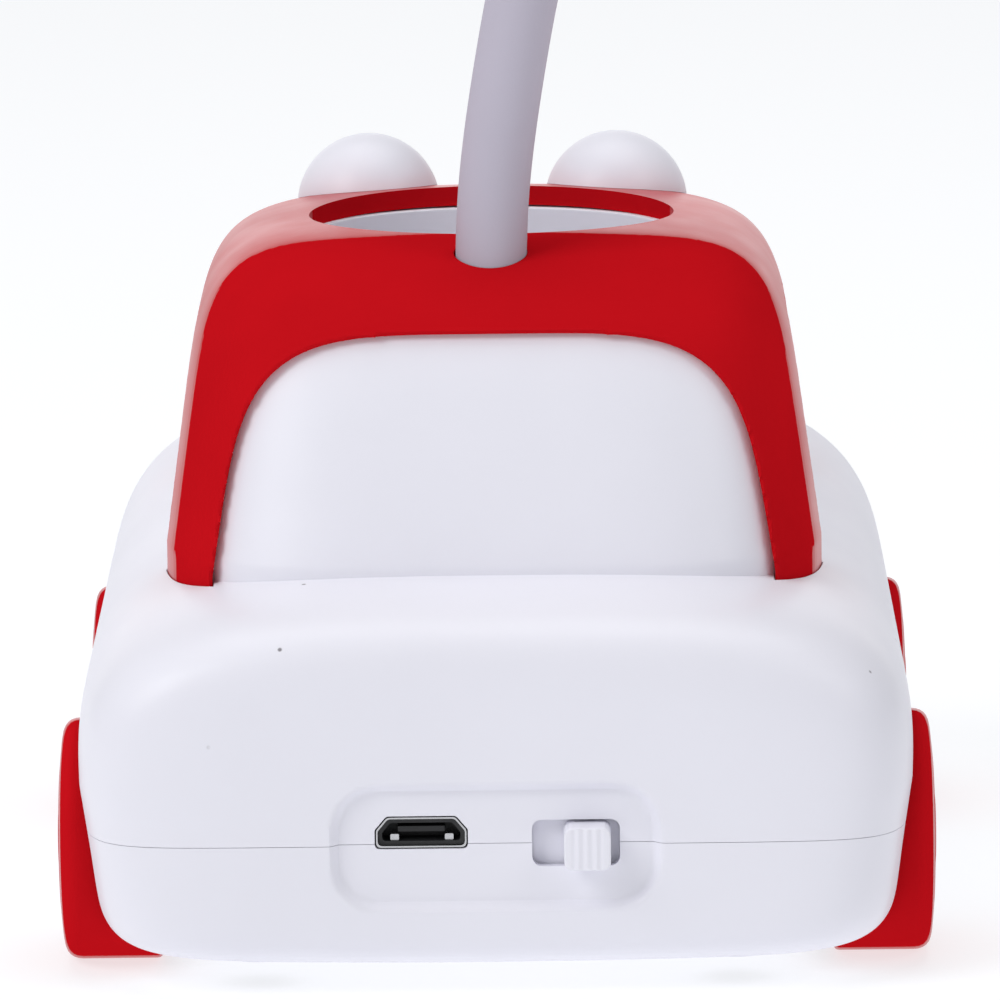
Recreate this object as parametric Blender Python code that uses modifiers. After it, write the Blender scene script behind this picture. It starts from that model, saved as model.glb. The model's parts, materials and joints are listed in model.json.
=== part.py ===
"""Pull-back toy car that is also a rechargeable desk lamp and pen holder.

Metres, +Z up. The car stands on z = 0, its nose points along +Y and +X is its right side. The origin is on
the ground, midway between the axles. A white body in two shells carries a red roof frame, a pen cup and a
bendable neck with a lamp head. A pull-back motor sits on the rear axle.
"""

import math

import bmesh
import bpy
from mathutils import Matrix, Vector

MM = 0.001
GAP = 0.3 * MM

# Body shells
BODY_HALF_LENGTH = 53 * MM
BODY_HALF_WIDTH = 35.5 * MM
BODY_WALL = 1.8 * MM
BODY_FLOOR_Z = 1.55 * MM
WIDEST_Z = 16.7 * MM
DECK_Z = 35.75 * MM
DECK_RISE = 0.049
SEAM_Z = 13.1 * MM
SEAM_GAP = 0.2 * MM
PLAN_POWER = 11.0
DECK_POWER = 9.0
KEEL_POWER = 10.7
SHOULDER_POWER = 3.3
SILL_POWER = 9.0
LOWER_TAPER = 0.054
FLOOR_CROWN = 0.036

# Cabin: the roof frame's outside is offset 0, the white cabin lies inside it
CABIN_BASE_Z = 34 * MM
CABIN_TOP_Z = 60.3 * MM
CABIN_FOOT_Z = 26.5 * MM
LEG_SLOT_TOP_Z = 42 * MM
CABIN_HALF_WIDTH = 28.6 * MM
CABIN_REAR = 40.5 * MM
CABIN_FRONT = 38 * MM
SIDE_TAPER = 0.146
REAR_TAPER = 0.363
FRONT_TAPER = 0.42
CABIN_TOP_POWER = 7.5
CABIN_PLAN_POWER = 4.6
# How far the roof has dropped 28 mm to a side, and 30 mm behind or before the cup
ROOF_DROP_X = 1.85 * MM
ROOF_DROP_Y = 1.4 * MM
FRAME_WALL = 1.7 * MM
CABIN_WALL = 1.6 * MM

# Window openings in the roof frame
WINDOW_SILL_Z = 33 * MM
END_WINDOW_HALF = 23.9 * MM
END_WINDOW_TOP_Z = 53.2 * MM
END_WINDOW_TAPER = 0.157
SIDE_WINDOW_HALF = 21 * MM
SIDE_WINDOW_TOP_Z = 52 * MM
SIDE_WINDOW_TAPER = 0.3
SIDE_WINDOW_Y = -1 * MM
WINDOW_POWER = 4.6

# Pen cup
CUP_Y = -2 * MM
CUP_RADIUS = 15.5 * MM
CUP_OUTER_RADIUS = 16.7 * MM
CUP_FLOOR_Z = 9.6 * MM
CUP_RIM_Z = 57.4 * MM
ROOF_HOLE_RADIUS = 16 * MM

# Roof ears
EAR_RADIUS = 6.4 * MM
EAR_X = 11.1 * MM
EAR_Y = 19 * MM
EAR_Z = 57.7 * MM

# Wheels and axles
AXLE_Y = 33.5 * MM
WHEEL_RADIUS = 10.3 * MM
WHEEL_SIDES = 32
WHEEL_OUTER_X = 37.4 * MM
WHEEL_INNER_X = 28.6 * MM
AXLE_RADIUS = 1 * MM
AXLE_HALF_LENGTH = 34.5 * MM
ARCH_RADIUS = 11.7 * MM
WELL_WALL = 1.5 * MM
WELL_INNER_X = 27.4 * MM

# Rear panel
PANEL_HALF_WIDTH = 13.45 * MM
PANEL_LOW_Z = 7.9 * MM
PANEL_HIGH_Z = 17.9 * MM
PANEL_CORNER = 3.6 * MM
PANEL_DEPTH = 0.8 * MM
USB_X = -6.25 * MM
USB_Z = 12.8 * MM
SLOT_X = 6.67 * MM
SLOT_Z = 13.05 * MM
SLOT_SIZE = (7.35 * MM, 4 * MM)
KNOB_X = 7.62 * MM
KNOB_SIZE = (3.9 * MM, 3.6 * MM)
KNOB_FACE_Y = -55 * MM

# Pull-back motor: gear module, then where each shaft is from the rear axle, in y and z
MODULE = 0.45 * MM
PRESSURE_ANGLE = math.radians(25)
IDLER_FROM_AXLE = (4.8 * MM, 6.52 * MM)
BARREL_FROM_AXLE = (-2.6 * MM, 9.82 * MM)
MOTOR_HALF_WIDTH = 8 * MM
MOTOR_LOW = (-44 * MM, 5.2 * MM)
MOTOR_HIGH = (-21.6 * MM, 27.8 * MM)
MOTOR_WALL = 1.2 * MM

# Neck: the points that its centre line passes, and the number of rigid lengths that stand for its bend
NECK_Y = -24 * MM
NECK_ROUTE = [
    (0, -24, 46), (0, -24, 66), (4.2, -23.4, 87), (10, -20.8, 112), (13.2, -15.5, 138),
    (12, -9.5, 163), (8, -3.5, 187), (3, 3.5, 208), (0, 12, 224),
]
NECK_RADIUS = 3.05 * MM
CORE_RADIUS = 2 * MM
SOCKET_RADIUS = 2.3 * MM
SLEEVE_GAP = 0.9 * MM
SLEEVE_FOOT_Z = 57.4 * MM
NECK_LENGTHS = 7

# Leads inside the body, in millimetres
BATTERY_LEAD = [
    (-20, 26.5, 27.2), (-22.5, 18, 27), (-23, 0, 25.5), (-23, -18, 22.5),
    (-18, -33, 18.5), (-12.5, -41, 15.5), (-10.5, -44, 13.2),
]
LAMP_LEAD = [
    (-11.8, -45, 13.3), (-11.8, -43, 18), (-11.3, -37, 27),
    (-7, -30, 36), (-2, -25.2, 42), (0, -24, 45.2),
]

# Lamp head, along its own axes: it faces -Z before it is tilted
HEAD_RADIUS = 27.5 * MM
HEAD_TILT = math.radians(50)
HEAD_REACH = 31.5 * MM

# Colours, roughness and metallic value
WHITE = ("white_plastic", (0.86, 0.86, 0.89), 0.42, 0.0)
RED = ("red_plastic", (0.62, 0.008, 0.015), 0.36, 0.0)
LILAC = ("neck_rubber", (0.63, 0.60, 0.68), 0.6, 0.0)
STEEL = ("steel", (0.62, 0.62, 0.64), 0.3, 1.0)
BRASS = ("brass", (0.75, 0.58, 0.28), 0.3, 1.0)
BLACK = ("black_plastic", (0.02, 0.02, 0.022), 0.5, 0.0)
BOARD = ("circuit_board", (0.02, 0.2, 0.07), 0.45, 0.0)
AMBER = ("motor_plastic", (0.72, 0.7, 0.62), 0.5, 0.0)
GEAR = ("gear_plastic", (0.8, 0.78, 0.68), 0.45, 0.0)
WRAP = ("battery_wrap", (0.03, 0.16, 0.42), 0.35, 0.0)
FROST = ("frosted_lens", (0.93, 0.93, 0.9), 0.3, 0.0)
CLEAR = ("headlight_lens", (0.85, 0.87, 0.9), 0.15, 0.0)
WIRE = ("wire_insulation", (0.5, 0.01, 0.01), 0.4, 0.0)


def clear_scene():
    for obj in list(bpy.data.objects):
        bpy.data.objects.remove(obj, do_unlink=True)


def collection(name):
    made = bpy.data.collections.new(name)
    bpy.context.scene.collection.children.link(made)
    return made


def material(look):
    name, colour, roughness, metallic = look
    found = bpy.data.materials.get(name)
    if found:
        return found
    made = bpy.data.materials.new(name)
    made.use_nodes = True
    shader = made.node_tree.nodes["Principled BSDF"]
    shader.inputs["Base Color"].default_value = (*colour, 1)
    shader.inputs["Roughness"].default_value = roughness
    shader.inputs["Metallic"].default_value = metallic
    return made


def add(name, mesh, look=None):
    """An object of the car, or a cutter if it has no look."""
    obj = bpy.data.objects.new(name, mesh)
    if look:
        mesh.materials.append(material(look))
        CAR.objects.link(obj)
    else:
        obj.hide_render = True
        obj.display_type = "WIRE"
        CUTTERS.objects.link(obj)
    return obj


def mesh_from(name, bm):
    bmesh.ops.recalc_face_normals(bm, faces=bm.faces)
    mesh = bpy.data.meshes.new(name)
    bm.to_mesh(mesh)
    bm.free()
    return mesh


def smooth(obj):
    obj.data.shade_smooth()
    obj.data.set_sharp_from_angle(angle=math.radians(35))
    return obj


def box(name, low, high, look=None, bevel=0.0):
    """An upright box between two corners."""
    low, high = Vector(low), Vector(high)
    bm = bmesh.new()
    bmesh.ops.create_cube(bm, size=1)
    bmesh.ops.scale(bm, vec=high - low, verts=bm.verts)
    obj = add(name, mesh_from(name, bm), look)
    obj.location = (low + high) / 2
    if bevel:
        rounding = obj.modifiers.new("rounding", "BEVEL")
        rounding.width = bevel
        rounding.segments = 2
    return obj


def cylinder(name, radius, start, end, look=None, sides=24):
    """A cylinder between the centres of its two ends."""
    start, end = Vector(start), Vector(end)
    bm = bmesh.new()
    bmesh.ops.create_cone(
        bm, cap_ends=True, segments=sides, radius1=radius, radius2=radius, depth=(end - start).length
    )
    obj = add(name, mesh_from(name, bm), look)
    obj.location = (start + end) / 2
    obj.rotation_mode = "QUATERNION"
    obj.rotation_quaternion = (end - start).to_track_quat("Z", "Y")
    return smooth(obj)


def turned(name, profile, look=None, sides=32):
    """A solid turned about its own Z from (radius, height) points, from the top down its outer side."""
    looped = profile[0] == profile[-1]
    points = profile[:-1] if looped else profile
    edges = [(i, i + 1) for i in range(len(points) - 1)]
    if looped:
        edges.append((len(points) - 1, 0))
    mesh = bpy.data.meshes.new(name)
    mesh.from_pydata([(r, 0, z) for r, z in points], edges, [])
    obj = add(name, mesh, look)
    screw = obj.modifiers.new("turn", "SCREW")
    screw.steps = screw.render_steps = sides
    screw.use_merge_vertices = True
    screw.merge_threshold = 1e-6
    screw.use_smooth_shade = False
    return obj


def outline_solid(name, outline, thickness, look=None):
    """A flat outline in XY, thick along Z on both sides of z = 0."""
    bm = bmesh.new()
    face = bm.faces.new([bm.verts.new((x, y, -thickness / 2)) for x, y in outline])
    lifted = bmesh.ops.extrude_face_region(bm, geom=[face])["geom"]
    corners = [v for v in lifted if isinstance(v, bmesh.types.BMVert)]
    bmesh.ops.translate(bm, vec=(0, 0, thickness), verts=corners)
    return add(name, mesh_from(name, bm), look)


def loft(name, rings, look=None):
    """A closed solid through rings that all have the same number of points."""
    bm = bmesh.new()
    layers = [[bm.verts.new(point) for point in ring] for ring in rings]
    for near, far in zip(layers, layers[1:]):
        for i, corner in enumerate(near):
            j = (i + 1) % len(near)
            bm.faces.new((corner, near[j], far[j], far[i]))
    bm.faces.new(layers[0])
    bm.faces.new(layers[-1])
    return smooth(add(name, mesh_from(name, bm), look))


def boolean(obj, operation, *others):
    for other in others:
        step = obj.modifiers.new(other.name, "BOOLEAN")
        step.operation = operation
        step.object = other
    return obj


def cut(obj, *cutters):
    return boolean(obj, "DIFFERENCE", *cutters)


def join(obj, *pieces):
    return boolean(obj, "UNION", *pieces)


def rounded_share(share, power):
    """How wide a superellipse of this power still is, as a share, at this share of its height."""
    return max(0.0, 1 - abs(share) ** power) ** (1 / power)


def superellipse(angle, power):
    """The point at this angle on a superellipse of half-axes 1."""
    c, s = math.cos(angle), math.sin(angle)
    radius = (abs(c) ** power + abs(s) ** power) ** (-1 / power)
    return radius * c, radius * s


def eased(steps, power, last=0.9985):
    """Shares from -last to last, closer together where a superellipse of this power turns its corner."""
    made = []
    for i in range(steps + 1):
        angle = math.pi / 2 * (2 * i / steps - 1)
        made.append(max(-last, min(last, superellipse(angle, power)[1])))
    first = next(i for i, share in enumerate(made) if share > -last) - 1
    return made[first : len(made) - first]


def body_ring(y, inset, points):
    """The body's outline across the car at y, moved inwards by inset."""
    share = y / (BODY_HALF_LENGTH - inset)
    half_width = (BODY_HALF_WIDTH - inset) * rounded_share(share, PLAN_POWER)
    up = (DECK_Z + DECK_RISE * y - inset - WIDEST_Z) * rounded_share(share, DECK_POWER)
    down = (WIDEST_Z - BODY_FLOOR_Z - inset) * rounded_share(share, KEEL_POWER)
    ring = []
    for i in range(points):
        angle = 2 * math.pi * i / points
        x, z = superellipse(angle, SHOULDER_POWER if angle <= math.pi else SILL_POWER)
        if z > 0:
            ring.append((x * half_width, y, WIDEST_Z + z * up))
        else:
            fall = down * z * (1 - FLOOR_CROWN * x**2)
            ring.append((x * half_width * (1 + LOWER_TAPER * z), y, WIDEST_Z + fall))
    return ring


def body_form(name, inset, points, steps):
    half_length = BODY_HALF_LENGTH - inset
    return loft(name, [body_ring(share * half_length, inset, points) for share in eased(steps, 6)])


def cabin_ring(z, offset, points, spread=1.0):
    """The cabin's plan at height z, moved outwards by offset; a spread below 1 lies within the roof."""
    height = CABIN_TOP_Z + offset - CABIN_BASE_Z
    rise = max(0.0, z - CABIN_BASE_Z)
    narrowing = spread * rounded_share(rise / height, CABIN_TOP_POWER)
    half_x = (CABIN_HALF_WIDTH + offset - SIDE_TAPER * rise) * narrowing
    rear = (CABIN_REAR + offset - REAR_TAPER * rise) * narrowing
    front = (CABIN_FRONT + offset - FRONT_TAPER * rise) * narrowing
    ring = []
    for i in range(points):
        x, y = superellipse(2 * math.pi * (i + 0.5) / points, CABIN_PLAN_POWER)
        x, y = x * half_x, y * (front if y > 0 else rear)
        drop = ROOF_DROP_X * (x / (28 * MM)) ** 2 + ROOF_DROP_Y * ((y - CUP_Y) / (30 * MM)) ** 2
        ring.append((x, y, z - drop * (rise / height) ** 4))
    return ring


def cabin_form(name, offset, points=32, levels=7):
    height = CABIN_TOP_Z + offset - CABIN_BASE_Z
    shares = [share for share in eased(2 * levels, 5, last=0.9995) if share >= -1e-9]
    rings = [cabin_ring(CABIN_FOOT_Z, offset, points)]
    rings += [cabin_ring(CABIN_BASE_Z + share * height, offset, points) for share in shares]
    top = CABIN_BASE_Z + shares[-1] * height
    rings += [cabin_ring(top, offset, points, spread) for spread in (0.6, 0.2)]
    return loft(name, rings)


def window_outline(half, taper, top_z, clearance, steps=12):
    """Half-widths and heights up one side of a window opening and down the other."""
    height = top_z - WINDOW_SILL_Z - clearance
    side = []
    for i in range(1, steps):
        angle = math.pi / 2 * i / steps
        width, rise = superellipse(angle, WINDOW_POWER)
        side.append(((half - taper * rise * height - clearance) * width, WINDOW_SILL_Z + rise * height))
    foot = (half - clearance, CABIN_FOOT_Z - 4 * MM)
    right = [foot, (half - clearance, WINDOW_SILL_Z)] + side
    return right + [(0, WINDOW_SILL_Z + height)] + [(-w, z) for w, z in reversed(right)]


def window_cutters(tag, clearance):
    """Prisms that open the frame's two ends and its sides."""
    ends = window_outline(END_WINDOW_HALF, END_WINDOW_TAPER, END_WINDOW_TOP_Z, clearance)
    sides = window_outline(SIDE_WINDOW_HALF, SIDE_WINDOW_TAPER, SIDE_WINDOW_TOP_Z, clearance)
    end_depth = 34 * MM
    made = []
    for place, sign in (("rear", -1), ("front", 1)):
        cutter = outline_solid(f"{place}_window_{tag}", ends, end_depth)
        cutter.rotation_euler = (math.pi / 2, 0, 0)
        cutter.location = (0, sign * (CABIN_REAR - 8 * MM), 0)
        made.append(cutter)
    cutter = outline_solid(f"side_windows_{tag}", sides, 80 * MM)
    cutter.rotation_euler = (math.pi / 2, 0, math.pi / 2)
    cutter.location = (0, SIDE_WINDOW_Y, 0)
    return made + [cutter]


def frame_form(name, clearance, inner_offset):
    """The roof frame as a solid: a shell of the cabin with its windows cut out."""
    frame = cabin_form(name, clearance)
    inner = cabin_form(f"{name}_inside", inner_offset)
    return cut(frame, inner, *window_cutters(name, clearance))


def leg_slots():
    """The frame's four legs with a clearance all round, for the slots that they pass."""
    legs = frame_form("leg_slots", GAP, -FRAME_WALL - GAP - 0.05 * MM)
    reach = 0.05
    low, high = (-reach, -reach, CABIN_FOOT_Z + 0.7 * MM), (reach, reach, LEG_SLOT_TOP_Z)
    return boolean(legs, "INTERSECT", box("leg_slot_heights", low, high))


def panel_cutter():
    """A rounded rectangle that sinks the rear panel into both shells."""
    corner_steps = 5
    centre_z = (PANEL_LOW_Z + PANEL_HIGH_Z) / 2
    half_height = (PANEL_HIGH_Z - PANEL_LOW_Z) / 2
    outline = []
    for quarter, (sx, sz) in enumerate(((1, 1), (-1, 1), (-1, -1), (1, -1))):
        for i in range(corner_steps + 1):
            angle = math.pi / 2 * (quarter + i / corner_steps)
            x = sx * (PANEL_HALF_WIDTH - PANEL_CORNER) + PANEL_CORNER * math.cos(angle)
            z = sz * (half_height - PANEL_CORNER) + PANEL_CORNER * math.sin(angle)
            outline.append((x, z))
    depth = 6 * MM
    cutter = outline_solid("rear_panel_recess", outline, depth)
    cutter.rotation_euler = (math.pi / 2, 0, 0)
    cutter.location = (0, -BODY_HALF_LENGTH + PANEL_DEPTH - depth / 2, centre_z)
    return cutter


def usb_outline(margin):
    """The connector's section: square below, with its upper corners cut off."""
    half, low, high = 3.78 * MM + margin, -margin, 2.55 * MM + margin
    shoulder, flat = 1.45 * MM + margin / 2, 2.85 * MM + margin / 2
    return [(-half, low), (half, low), (half, shoulder), (flat, high), (-flat, high), (-half, shoulder)]


def usb_prism(name, margin, rear_y, front_y, look=None):
    prism = outline_solid(name, usb_outline(margin), front_y - rear_y, look)
    prism.rotation_euler = (math.pi / 2, 0, 0)
    prism.location = (USB_X, (rear_y + front_y) / 2, USB_Z)
    return prism


def rear_openings():
    """The panel's recess, the charging port and the switch's slot, cut through both shells."""
    port = usb_prism("port_opening", 0.2 * MM, -60 * MM, -50 * MM)
    half_x, half_z = SLOT_SIZE[0] / 2, SLOT_SIZE[1] / 2
    slot = box(
        "switch_slot",
        (SLOT_X - half_x, -60 * MM, SLOT_Z - half_z),
        (SLOT_X + half_x, -50 * MM, SLOT_Z + half_z),
    )
    rounding = slot.modifiers.new("rounding", "BEVEL")
    rounding.width = 0.9 * MM
    rounding.segments = 3
    return [panel_cutter(), port, slot]


def wheel_wells(name, radius, inner_x):
    """Four cylinders round the wheels, from inner_x outwards."""
    made = []
    for end, y in (("rear", -AXLE_Y), ("front", AXLE_Y)):
        for side, sign in (("left", -1), ("right", 1)):
            start = (sign * inner_x, y, WHEEL_RADIUS)
            outside = (sign * 42 * MM, y, WHEEL_RADIUS)
            made.append(cylinder(f"{name}_{end}_{side}", radius, start, outside, sides=24))
    return made


def screw_places():
    return [(x * 20 * MM, y * 45 * MM) for y in (-1, 1) for x in (-1, 1)]


def make_shells():
    outer = {"inset": 0.0, "points": 36, "steps": 24}
    inner = {"inset": BODY_WALL, "points": 24, "steps": 14}
    cavity = body_form("body_cavity", **inner)
    cut(cavity, *wheel_wells("well_block", ARCH_RADIUS + WELL_WALL, WELL_INNER_X - WELL_WALL))
    cabin_outside = cabin_form("cabin_outside", -FRAME_WALL - GAP)
    cabin_inside = cabin_form("cabin_inside", -FRAME_WALL - GAP - CABIN_WALL, points=24, levels=6)
    openings = rear_openings()
    arches = wheel_wells("arch", ARCH_RADIUS, WELL_INNER_X)
    far = 0.1
    above = box("above_seam", (-far, -far, SEAM_Z + SEAM_GAP / 2), (far, far, far))
    under = box("under_seam", (-far, -far, -far), (far, far, SEAM_Z - SEAM_GAP / 2))

    upper = body_form("upper_shell", **outer)
    show(upper, WHITE)
    join(upper, cabin_outside)
    cut(upper, cavity, cabin_inside)
    within_deck = body_form("boss_limit", 0.7 * MM, outer["points"], outer["steps"])
    for i, (x, y) in enumerate(screw_places()):
        boss = cylinder(f"upper_boss_{i}", 3 * MM, (x, y, SEAM_Z + MM / 2), (x, y, 45 * MM), sides=12)
        join(upper, boolean(boss, "INTERSECT", within_deck))
    neck_boss = cylinder("neck_boss", 4.2 * MM, (0, NECK_Y, 52.5 * MM), (0, NECK_Y, 62 * MM), sides=20)
    within_cabin = cabin_form("neck_boss_limit", -FRAME_WALL - GAP - 0.6 * MM)
    join(upper, boolean(neck_boss, "INTERSECT", within_cabin))
    boolean(upper, "INTERSECT", above)
    cut(upper, leg_slots(), *openings, *arches)
    cup_hole = cylinder(
        "cup_hole", CUP_OUTER_RADIUS + GAP, (0, CUP_Y, 45 * MM), (0, CUP_Y, 70 * MM), sides=40
    )
    neck_hole = cylinder("ferrule_hole", 3.3 * MM, (0, NECK_Y, 51 * MM), (0, NECK_Y, 70 * MM), sides=20)
    ear_holes = [
        cylinder(f"ear_peg_hole_{i}", 1.8 * MM, (x, EAR_Y, 50 * MM), (x, EAR_Y, 70 * MM), sides=12)
        for i, x in enumerate((-EAR_X, EAR_X))
    ]
    lamp_seats = [
        cylinder(f"headlight_seat_{i}", 5.9 * MM, (x, 52 * MM, 20 * MM), (x, 60 * MM, 20 * MM), sides=28)
        for i, x in enumerate((-22 * MM, 22 * MM))
    ]
    cut(upper, cup_hole, neck_hole, *ear_holes, *lamp_seats)
    for i, (x, y) in enumerate(screw_places()):
        cut(upper, cylinder(f"screw_pilot_{i}", 1.35 * MM, (x, y, 0), (x, y, 26 * MM), sides=12))

    lower = body_form("lower_shell", **outer)
    show(lower, WHITE)
    cut(lower, cavity)
    for i, (x, y) in enumerate(screw_places()):
        join(lower, cylinder(f"lower_boss_{i}", 3.4 * MM, (x, y, 2.6 * MM), (x, y, 12.8 * MM), sides=12))
    boolean(lower, "INTERSECT", under)
    cut(lower, *openings, *arches)
    for i, (x, y) in enumerate(screw_places()):
        cut(lower, cylinder(f"screw_way_{i}", 1.35 * MM, (x, y, 0), (x, y, 20 * MM), sides=12))
        cut(lower, cylinder(f"screw_recess_{i}", 2.6 * MM, (x, y, 0), (x, y, 4.8 * MM), sides=16))
    for end, y in (("rear", -AXLE_Y), ("front", AXLE_Y)):
        for side, sign in (("left", -1), ("right", 1)):
            start = (sign * 24 * MM, y, WHEEL_RADIUS)
            outside = (sign * 30 * MM, y, WHEEL_RADIUS)
            cut(lower, cylinder(f"{end}_bearing_{side}", AXLE_RADIUS + GAP, start, outside, sides=16))
    for i, x in enumerate((-12 * MM, 12 * MM)):
        start, outside = (x, 49 * MM, 8 * MM), (x, 60 * MM, 8 * MM)
        cut(lower, cylinder(f"bumper_peg_hole_{i}", 1.4 * MM, start, outside, sides=12))
    return ear_holes


def show(obj, look):
    """Moves an object from the cutters to the car."""
    CUTTERS.objects.unlink(obj)
    CAR.objects.link(obj)
    obj.hide_render = False
    obj.display_type = "TEXTURED"
    obj.data.materials.append(material(look))


def make_roof_frame(ear_holes):
    frame = frame_form("roof_frame", 0.0, -FRAME_WALL)
    show(frame, RED)
    below = box("under_roof_frame", (-0.05, -0.05, 0), (0.05, 0.05, CABIN_FOOT_Z + MM))
    cut(frame, below)
    mouth = cylinder("roof_hole", ROOF_HOLE_RADIUS, (0, CUP_Y, 45 * MM), (0, CUP_Y, 70 * MM), sides=48)
    neck_way = cylinder("neck_hole", 3.4 * MM, (0, NECK_Y, 52 * MM), (0, NECK_Y, 70 * MM), sides=24)
    cut(frame, mouth, neck_way, *ear_holes)


def make_pen_cup():
    flange_radius, flange_top, flange_low = 17.5 * MM, 54.6 * MM, 53.5 * MM
    underside = CUP_FLOOR_Z - 1.3 * MM
    profile = [
        (CUP_RADIUS, CUP_RIM_Z), (CUP_OUTER_RADIUS, CUP_RIM_Z), (CUP_OUTER_RADIUS, flange_top),
        (flange_radius, flange_top), (flange_radius, flange_low), (CUP_OUTER_RADIUS, flange_low - MM),
        (CUP_OUTER_RADIUS, CUP_FLOOR_Z), (CUP_OUTER_RADIUS - 1.2 * MM, underside), (0, underside),
        (0, CUP_FLOOR_Z), (CUP_RADIUS - MM, CUP_FLOOR_Z), (CUP_RADIUS, CUP_FLOOR_Z + MM),
        (CUP_RADIUS, CUP_RIM_Z),
    ]
    cup = turned("pen_cup", profile, WHITE, sides=32)
    cup.location = (0, CUP_Y, 0)


def make_ears():
    roof = cabin_form("roof_under_ears", 0.15 * MM)
    for side, x in (("left", -EAR_X), ("right", EAR_X)):
        bm = bmesh.new()
        bmesh.ops.create_uvsphere(bm, u_segments=20, v_segments=12, radius=EAR_RADIUS)
        ear = smooth(add(f"ear_{side}", mesh_from(f"ear_{side}", bm), WHITE))
        ear.location = (x, EAR_Y, EAR_Z)
        cut(ear, roof)
        peg_top = (x, EAR_Y, EAR_Z + 2.4 * MM)
        join(ear, cylinder(f"ear_peg_{side}", 1.4 * MM, (x, EAR_Y, 54.5 * MM), peg_top, sides=12))


def make_headlights():
    radius, back, bulge = 5.5 * MM, 0.0, 2.2 * MM
    for side, x in (("left", -22 * MM), ("right", 22 * MM)):
        dome = [(radius * math.cos(a), bulge * math.sin(a)) for a in (math.radians(d) for d in (66, 44, 22))]
        profile = [(0, bulge)] + dome + [(radius, 0.5 * MM), (radius, back), (0, back)]
        lens = turned(f"headlight_{side}", profile, CLEAR, sides=28)
        lens.rotation_euler = (-math.pi / 2, 0, 0)
        lens.location = (x, 52.3 * MM, 20 * MM)


def make_bumper():
    low, high = (-25 * MM, 53.3 * MM, 5.6 * MM), (25 * MM, 55 * MM, 10.6 * MM)
    bumper = box("front_bumper", low, high, RED, bevel=0.7 * MM)
    for i, x in enumerate((-12 * MM, 12 * MM)):
        start, end = (x, 50 * MM, 8 * MM), (x, 54 * MM, 8 * MM)
        join(bumper, cylinder(f"bumper_peg_{i}", 1.1 * MM, start, end, sides=12))


def make_wheel(name, sign, y):
    """A wheel with a rounded tread edge, a slightly domed face and a blind hub bore."""
    vertex_radius = WHEEL_RADIUS / math.cos(math.pi / WHEEL_SIDES)
    width = WHEEL_OUTER_X - WHEEL_INNER_X
    bore, bore_depth, crown, corner = AXLE_RADIUS + GAP, 6.4 * MM, 0.4 * MM, 2 * MM
    edge = [
        (vertex_radius - corner + corner * math.sin(a), width - crown - corner + corner * math.cos(a))
        for a in (math.radians(d) for d in (0, 45, 90))
    ]
    profile = [(0, width)] + edge + [(vertex_radius, 0.7 * MM), (vertex_radius - 0.7 * MM, 0)]
    profile += [(bore, 0), (bore, bore_depth), (0, bore_depth)]
    wheel = turned(name, profile, RED, sides=WHEEL_SIDES)
    half_side = math.pi / WHEEL_SIDES
    wheel.matrix_world = (
        Matrix.Translation((sign * WHEEL_INNER_X, y, WHEEL_RADIUS))
        @ Matrix.Rotation(sign * math.pi / 2, 4, "Y")
        @ Matrix.Rotation(half_side, 4, "Z")
    )


def make_axles():
    for end, y in (("rear", -AXLE_Y), ("front", AXLE_Y)):
        low, high = (-AXLE_HALF_LENGTH, y, WHEEL_RADIUS), (AXLE_HALF_LENGTH, y, WHEEL_RADIUS)
        cylinder(f"{end}_axle", AXLE_RADIUS, low, high, STEEL, sides=14)
        make_wheel(f"{end}_wheel_left", -1, y)
        make_wheel(f"{end}_wheel_right", 1, y)


def involute(angle):
    return math.tan(angle) - angle


def gear_outline(teeth, backlash=0.16 * MM, flank_steps=2):
    """A spur gear's outline with involute flanks, from its module and its number of teeth."""
    pitch = MODULE * teeth / 2
    base = pitch * math.cos(PRESSURE_ANGLE)
    tip, root = pitch + 0.8 * MODULE, pitch - 1.15 * MODULE
    half_tooth = math.pi / (2 * teeth) - backlash / (2 * pitch) + involute(PRESSURE_ANGLE)
    start = max(base, root)
    outline = []
    for tooth in range(teeth):
        centre = 2 * math.pi * tooth / teeth
        flank = []
        for i in range(flank_steps + 1):
            radius = start + (tip - start) * i / flank_steps
            half = half_tooth - involute(math.acos(min(1.0, base / radius)))
            flank.append((radius, half))
        points = [(root, -flank[0][1])] if root < start - 0.02 * MM else []
        points += [(r, -half) for r, half in flank]
        points += [(r, half) for r, half in reversed(flank)]
        if root < start - 0.02 * MM:
            points.append((root, flank[0][1]))
        outline += [(r * math.cos(centre + a), r * math.sin(centre + a)) for r, a in points]
    return outline


def gear(name, teeth, low_x, high_x, y, z, turn=0.0, look=None):
    """A spur gear about an axis along X."""
    made = outline_solid(name, gear_outline(teeth), high_x - low_x, look)
    made.matrix_world = (
        Matrix.Translation(((low_x + high_x) / 2, y, z))
        @ Matrix.Rotation(math.pi / 2, 4, "Y")
        @ Matrix.Rotation(turn, 4, "Z")
    )
    return made


def mesh_turn(teeth, other_teeth, other_turn, towards):
    """The turn that puts a gear's gap on the other gear's tooth, on the line towards this gear."""
    phase = (towards - other_turn) * other_teeth
    return towards + math.pi + (phase + math.pi) / teeth


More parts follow.
